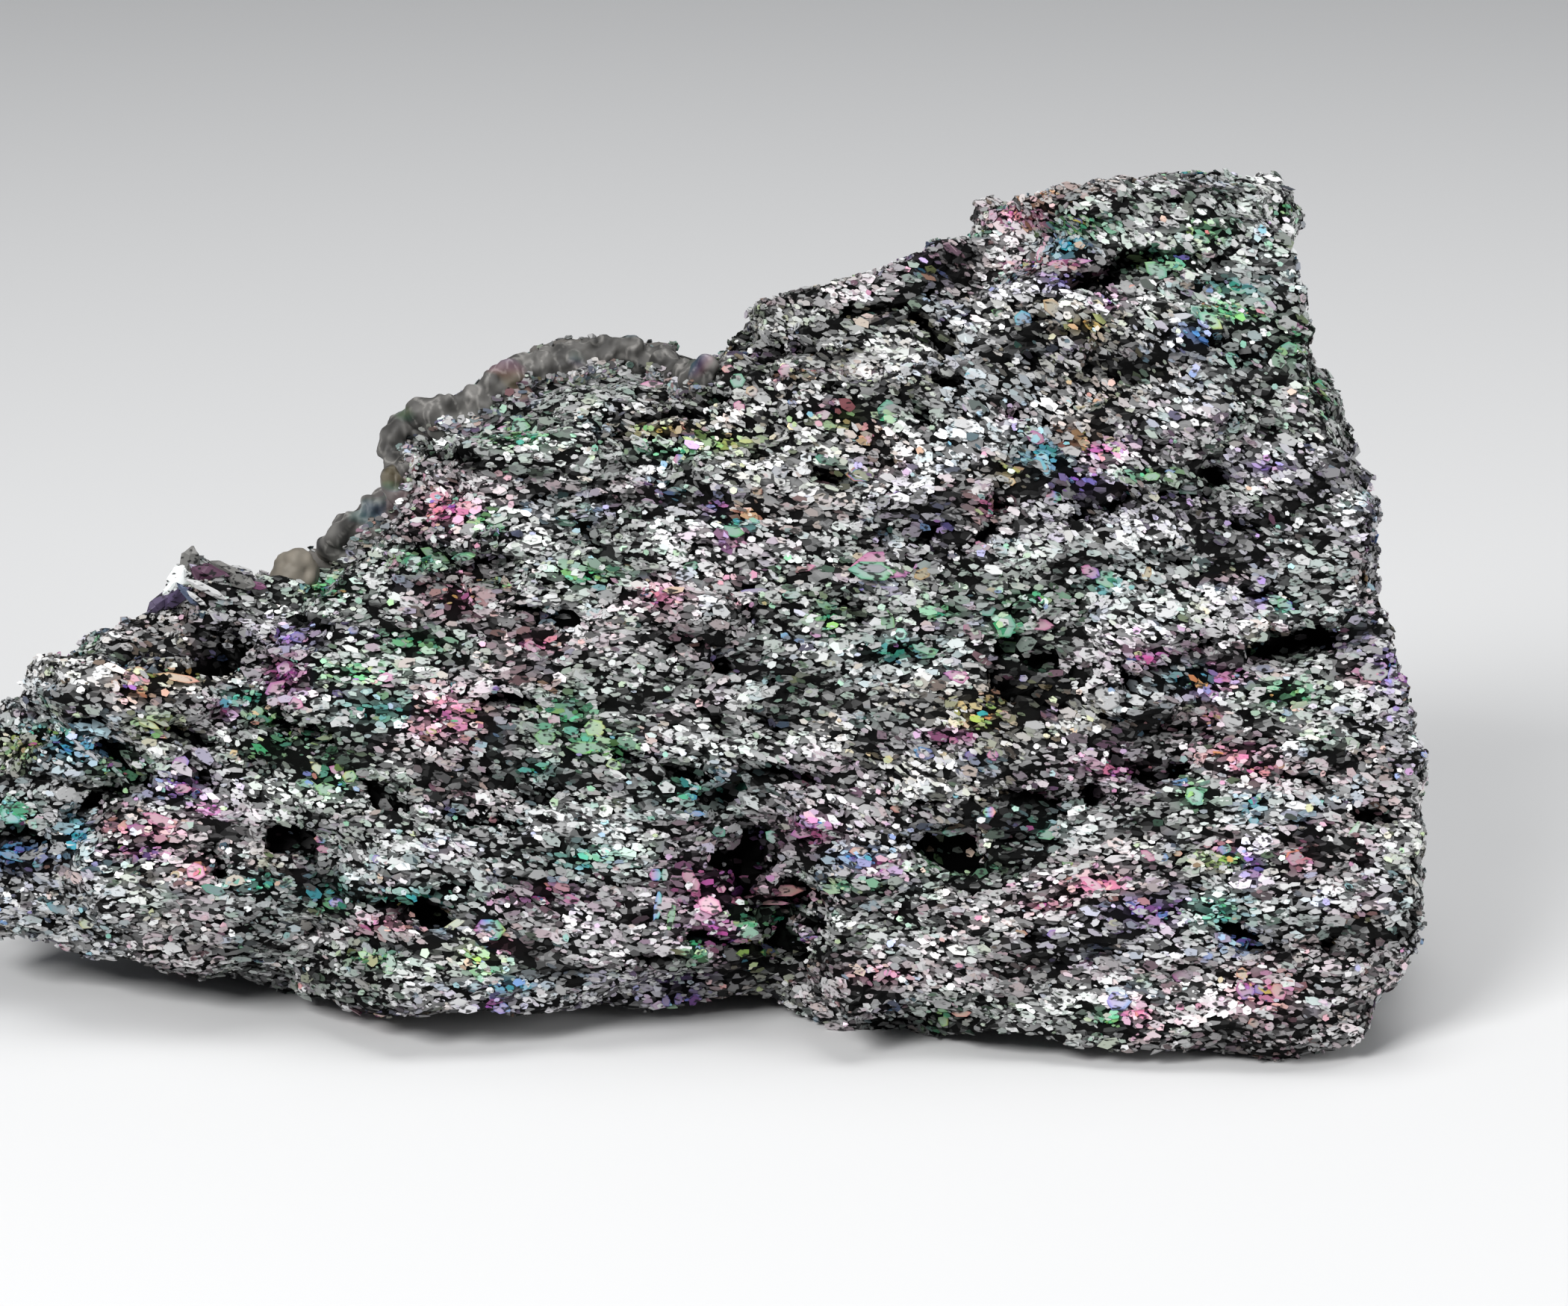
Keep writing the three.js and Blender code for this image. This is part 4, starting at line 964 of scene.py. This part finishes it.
for index in loose:
    if open_to[index] > 0.3 or dull_here[index] > 0.2 or centre[index][2] < 3:
        continue
    long_mm = rng.uniform(LOOSE_SMALL, LOOSE_LARGE)
    wide_mm = long_mm * rng.uniform(0.35, 0.9)
    begin = rng.random()
    tinted = 0.8 * (rng.random() < LOOSE_FILMED)
    plate_rows.append((
        centre[index] + top[index] * PLATE_LIFT, top[index], along[index], long_mm, wide_mm, begin,
        begin + rng.uniform(-0.12, 0.12), tinted, tinted * rng.random(), rng.uniform(*LOOSE_TONES),
    ))

level, faced, way = (np.array([row[k] for row in plate_rows], float) for k in range(3))
numbers = np.array([row[3:] for row in plate_rows], float)
faced = unit(faced)
way = unit(way - faced * (way * faced).sum(1)[:, None])
cross = np.cross(faced, way)
count, size = len(plate_rows), len(plate_form)
uneven = 1 + 0.07 * rng.normal(0, 1, (count, 1, 1)) * np.sign(plate_form[None, :, :1])
local = plate_form[None] * np.concatenate([uneven, uneven[:, ::-1], np.ones_like(uneven)], 2)
body = (
    local[:, :, :1] * (way * numbers[:, :1])[:, None]
    + local[:, :, 1:2] * (cross * numbers[:, 1:2])[:, None]
    + local[:, :, 2:] * (faced * PLATE_THICK)[:, None]
    + level[:, None]
)
body[:, :, 2] = np.maximum(body[:, :, 2], 0.0)
half_way = (local[:, :, 0] + 0.5).clip(0, 1)
begin, end, first_veil, last_veil, light = numbers[:, 2:].T
plate_phase = begin[:, None] + (end - begin)[:, None] * half_way + 0.04 * ring_share
plate_veil = first_veil[:, None] + (last_veil - first_veil)[:, None] * half_way
plate_veil = plate_veil * (0.55 + 0.45 * ring_share)
indices = plate_faces[None] + (np.arange(count) * size)[:, None, None]
row = math.ceil(math.sqrt(count))
cell = np.stack([np.arange(count) % row + 0.5, np.arange(count) // row + 0.5], 1) / row
flat = plate_form[:, :2] * 1.2
way_out = unit(np.concatenate([plate_form[:, :2], np.zeros((size, 1))], 1))[:, :2]
flat = np.where(foot[:, None], way_out * 0.92, flat)
uv_form = flat[plate_faces]
below = foot[plate_faces].all(axis=1)
uv_form[below] = plate_form[plate_faces[below]][:, :, :2] * 0.2 + 0.85
uv = cell[:, None, None, :] + uv_form[None] * 0.5 / row
values = {
    "tone": np.repeat(light, size),
    "phase": (plate_phase % 1.0).ravel(),
    "veil": plate_veil.ravel(),
}
plates = joined("plates", body.reshape(-1, 3), indices.reshape(-1, 3), values, uv)

plate_finish, tree, shader = carbide("filmed_plates", 0.46, 0.15, 0.35)
filmed_with_pore_shade(tree, shader)
plates.data.materials.append(plate_finish)
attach(plates, "root")


# ---------------------------------------------------------------- the rim
# Rounded lumps of dull grey-brown carbide that sintered together along the far upper edge, and
# one large pale one at its lower end. They are grown into one another and hold little film.

# The outer edge of the rim, in pixels, from its lower end to the step.
RIM_EDGE = (
    (428, 722), (452, 694), (482, 668), (508, 648), (506, 618), (504, 598), (513, 568), (542, 546),
    (580, 529), (620, 519), (650, 499), (690, 473), (740, 460), (790, 451), (840, 447), (885, 459),
    (925, 478), (955, 485),
)
RIM_STEP = 12  # pixels from a lump to the next
RIM_LUMPS = (9, 23)  # pixels from the middle of a lump to its surface
RIM_REACH = 15  # pixels, the middle size of a lump
RIM_ROWS = ((0.9, 1.15), (1.5, 2.2), (2.3, 3.6))  # how far in each row lies, in such sizes
RIM_TURN = 20  # pixels to both sides over which the edge's direction is taken
RIM_DEEP = 48  # pixels that the rim reaches in from its edge
RIM_SEED = 5
BOULDER = (396, 766, 33)  # place and reach in pixels
BOULDER_OUT = 0.7  # mm
RIM_VOXEL = 0.17  # mm
RIM_UNEVEN, RIM_GRAIN = 0.34, 0.16  # mm
RIM_SOOT = (1.0, 0.89, 0.72, 1)  # what the soot leaves of the colour where it is thickest
RIM_SOOTY = 0.35  # how thick it lies on the rim, where the boulder has 1

edge = np.array(RIM_EDGE, float)
run = np.concatenate([[0], np.cumsum(np.linalg.norm(np.diff(edge, axis=0), axis=1))])
rng = np.random.default_rng(RIM_SEED)


def on_edge(far):
    """The place in pixels at a distance along the outer edge of the rim, or at several."""
    return np.stack([np.interp(far, run, edge[:, axis]) for axis in (0, 1)], axis=-1)


lumps = []
away = CAMERA_AWAY
for far in np.arange(0, run[-1], RIM_STEP):
    spot = on_edge(far)
    ahead = on_edge(far + RIM_TURN)
    behind = on_edge(far - RIM_TURN)
    inward = unit((ahead - behind)[None])[0] @ np.array([[0, 1.0], [-1.0, 0]])
    point = seen_at(*(spot + inward * RIM_DEEP))[0]
    if point is not None:
        away = (np.array(point) - eye) @ look
    for row, (near, far_in) in enumerate(RIM_ROWS):
        reach = rng.uniform(*RIM_LUMPS)
        offset = (reach if row == 0 else RIM_REACH) * rng.uniform(near, far_in)
        ray = seen_at(*(spot + inward * offset + rng.uniform(-4, 4, 2)))[2]
        deeper = rng.uniform(-0.3, 0.8) + 0.12 * row
        lumps.append((eye + ray * (away + deeper) / (ray @ look), reach * PIXEL))
point, normal, ray = seen_at(BOULDER[0] + BOULDER[2], BOULDER[1])
away = (np.array(point) - eye) @ look - BOULDER_OUT
ray = seen_at(*BOULDER[:2])[2]
lumps.append((eye + ray * away / (ray @ look), BOULDER[2] * PIXEL))

bpy.ops.mesh.primitive_ico_sphere_add(subdivisions=3, radius=1)
pattern = bpy.context.object
lump_form = points_of(pattern.data) * MM
lump_faces = surface_of(pattern.data)[0]
bpy.data.objects.remove(pattern)
stretch = np.array([reach for _, reach in lumps])[:, None] * rng.uniform(0.88, 1.12, (len(lumps), 3))
body = lump_form[None] * stretch[:, None] + np.array([place for place, _ in lumps])[:, None]
indices = lump_faces[None] + (np.arange(len(lumps)) * len(lump_form))[:, None, None]
rim = joined("rim", body.reshape(-1, 3), indices.reshape(-1, 3), {})
bpy.context.view_layer.objects.active = rim
rim.select_set(True)
rim.data.remesh_voxel_size = RIM_VOXEL * MM
bpy.ops.object.voxel_remesh()
bpy.ops.object.mode_set(mode="EDIT")
bpy.ops.mesh.select_all(action="SELECT")
bpy.ops.mesh.vertices_smooth(factor=0.5, repeat=6)
bpy.ops.mesh.quads_convert_to_tris()
bpy.ops.object.mode_set(mode="OBJECT")
rim_points = points_of(rim.data)
uneven = RIM_UNEVEN * waves(rim_points, (1.2, 1.3, 1.3), 3.3)
uneven += RIM_GRAIN * waves(rim_points, (0.6, 0.6, 0.6), 8.1)
rim_points += normals_of(rim.data) * uneven[:, None]
rim.data.vertices.foreach_set("co", (rim_points * MM).ravel())
rim.data.update()
rim.data.shade_smooth()

spots = in_picture(rim_points)
pale = 1 - ease(np.linalg.norm(spots - np.array(BOULDER[:2]), axis=1), BOULDER[2], 1.4 * BOULDER[2])
streaks = 1 - ease(np.abs(waves(rim_points, (0.9, 0.9, 1.6), 21.7)), 0.0, 0.14)
rim_tone = 0.082 + 0.08 * waves(rim_points, (1.1, 1.1, 0.9), 12.4) + 0.12 * streaks
rim_tone *= 1 - 0.6 * ease(waves(rim_points, (2.2, 2.2, 1.2), 27.7), 0.0, 0.4)
rim_tone = rim_tone * (1 - pale) + pale * (0.17 + 0.07 * waves(rim_points, (0.6, 0.9, 4.0), 31.0))
rim_tone = np.clip(rim_tone, 0.02, 1)
rim_phase, rim_veil = film_at(in_beds(rim_points), spots, np.ones(len(rim_points)))
rim_veil *= 0.5 * (1 - pale)
soot = RIM_SOOTY + (1 - RIM_SOOTY) * pale
set_values(rim.data, {"tone": rim_tone, "phase": rim_phase, "veil": rim_veil, "soot": soot})

rim_finish, tree, shader = carbide("dull_carbide", 0.6, 0.0, 0.3)
filmed = film_colour(tree, ("tone", "phase", "veil"))
sooty = blend(tree, "MULTIPLY", filmed, RIM_SOOT, attribute(tree, "soot"))
tree.links.new(sooty, shader.inputs["Base Color"])
rim.data.materials.append(rim_finish)
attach(rim, "root")


# ---------------------------------------------------------------- the crystals
# Stout six-sided prisms with pointed ends, larger than the flakes, that stand up in a cluster at
# the left of the rim. One is clean and bright, some are sooty with a dark red or violet film.

# Each: place, length and width in pixels, turn in degrees, tone, film and veil.
CRYSTALS = (
    (254, 755, 54, 32, -80, 0.14, "gold", 0.04), (306, 764, 66, 18, 27, 0.12, "gold", 0.04),
    (284, 774, 66, 42, 28, 0.03, "magenta", 0.2), (216, 806, 50, 24, -38, 0.05, "violet", 0.2),
    (238, 800, 56, 24, -35, 0.06, "violet", 0.25), (240, 774, 44, 34, -62, 0.9, "teal", 0.08),
    (270, 766, 44, 12, 32, 0.35, "violet", 0.25), (276, 789, 64, 14, 27, 0.42, "gold", 0.0),
    (252, 797, 48, 13, 50, 0.12, "blue", 0.3), (264, 802, 40, 9, 40, 0.6, "gold", 0.0),
    (226, 788, 26, 13, -50, 0.7, "teal", 0.1), (324, 779, 52, 24, 14, 0.13, "gold", 0.04),
    (343, 784, 34, 13, 12, 0.05, "magenta", 0.4), (354, 794, 46, 20, 20, 0.05, "gold", 0.0),
    (236, 814, 50, 18, 8, 0.25, "violet", 0.4),
)
CRYSTAL_LIFT, CRYSTAL_STEP = 0.3, 0.07  # mm: the first stands out least, each next one more
CRYSTAL_BEVEL = 0.035  # of the width
CRYSTAL_DEEP = 0.8  # thickness for a width of 1

bpy.ops.mesh.primitive_uv_sphere_add(segments=6, ring_count=3, radius=0.5)
pattern = bpy.context.object
bpy.ops.object.mode_set(mode="EDIT")
bpy.ops.mesh.select_all(action="SELECT")
bpy.ops.mesh.bevel(offset=CRYSTAL_BEVEL, segments=1, affect="EDGES")
bpy.ops.mesh.quads_convert_to_tris()
bpy.ops.object.mode_set(mode="OBJECT")
crystal_form = points_of(pattern.data) * MM
crystal_faces = surface_of(pattern.data)[0]
bpy.data.objects.remove(pattern)

size = len(crystal_form)
body, values = [], {"tone": [], "phase": [], "veil": []}
lifts = CRYSTAL_LIFT + CRYSTAL_STEP * np.arange(len(CRYSTALS))
for lifted, row in zip(lifts, CRYSTALS):
    across, down, long_px, wide_px, degrees, begin_tone, colour, crystal_veil = row
    point, normal, ray = seen_at(across, down)
    if point is not None:
        away = (np.array(point) - eye) @ look
    turn_by = math.radians(degrees)
    level = eye + ray * (away - lifted) / (ray @ look)
    axis = math.cos(turn_by) * np.array([1.0, 0, 0]) - math.sin(turn_by) * up
    axis = unit((axis + 0.3 * rng.normal() * look)[None])[0]
    aside = unit(np.cross(look, axis)[None])[0]
    uneven = crystal_form * rng.uniform(0.85, 1.1, (size, 1)) * PIXEL
    body.append(
        uneven[:, 2:] * axis * long_px
        + uneven[:, :1] * aside * wide_px
        + uneven[:, 1:2] * np.cross(axis, aside) * wide_px * CRYSTAL_DEEP
        + level
    )
    values["tone"].append(np.full(size, begin_tone))
    values["phase"].append(np.full(size, FILM_COLOURS[colour][0]))
    values["veil"].append(np.full(size, crystal_veil))
indices = crystal_faces[None] + (np.arange(len(CRYSTALS)) * size)[:, None, None]
values = {name: np.concatenate(value) for name, value in values.items()}
crystals = joined("crystals", np.vstack(body), indices.reshape(-1, 3), values)
crystals.data.materials.append(plate_finish)
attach(crystals, "root")


# ---------------------------------------------------------------- the scales on the rim
# Flakes like those of the crust that grew over the inner side of the rim, in patches, and tie it
# to the beds. Further out the rim is bare.

RIM_FLAKES = 900
RIM_BARE = (27, 46)  # pixels from the outer edge: none nearer than the first, all past the second
RIM_FLAKE_LONG = (0.45, 0.95)  # mm
RIM_FLAKE_WIDE = (0.2, 0.4)  # half the width, of the length
RIM_FLAKE_TONES = (0.05, 0.6)

corners, face_normals, areas = surface_of(rim.data)
centre = rim_points[corners].mean(1)
line = on_edge(np.arange(0, run[-1], 5))
inside = np.linalg.norm(in_picture(centre)[:, None] - line[None], axis=2).min(1)
patchy = 0.15 + 0.85 * ease(waves(centre, (2.0, 2.0, 1.4), 51.5), -0.1, 0.2)
chance = areas * ease(inside, *RIM_BARE) * patchy * ease(-face_normals @ look, 0.0, 0.4)
chance *= 1 - pale[corners].mean(1)
picked = rng.choice(len(corners), RIM_FLAKES, p=chance / chance.sum())
top = unit(0.6 * face_normals[picked] - 0.4 * look + 0.15 * rng.normal(0, 1, (RIM_FLAKES, 3)))
along = unit(np.cross(up, top) + 0.25 * rng.normal(0, 1, (RIM_FLAKES, 3)))
along = unit(along - top * (along * top).sum(1)[:, None])
long = rng.uniform(*RIM_FLAKE_LONG, RIM_FLAKES)
half_wide = long * rng.uniform(*RIM_FLAKE_WIDE, RIM_FLAKES)
ways = (along * long[:, None] / 2, np.cross(top, along) * half_wide[:, None])
level = centre[picked] + top * rng.uniform(0.05, 0.18, (RIM_FLAKES, 1))
values = {
    "tone": rng.uniform(*RIM_FLAKE_TONES, RIM_FLAKES),
    "phase": rng.random(RIM_FLAKES),
    "veil": 0.4 * rng.random(RIM_FLAKES) ** 2,
}
grown_flakes("rim_flakes", 6, level, top, ways, values)
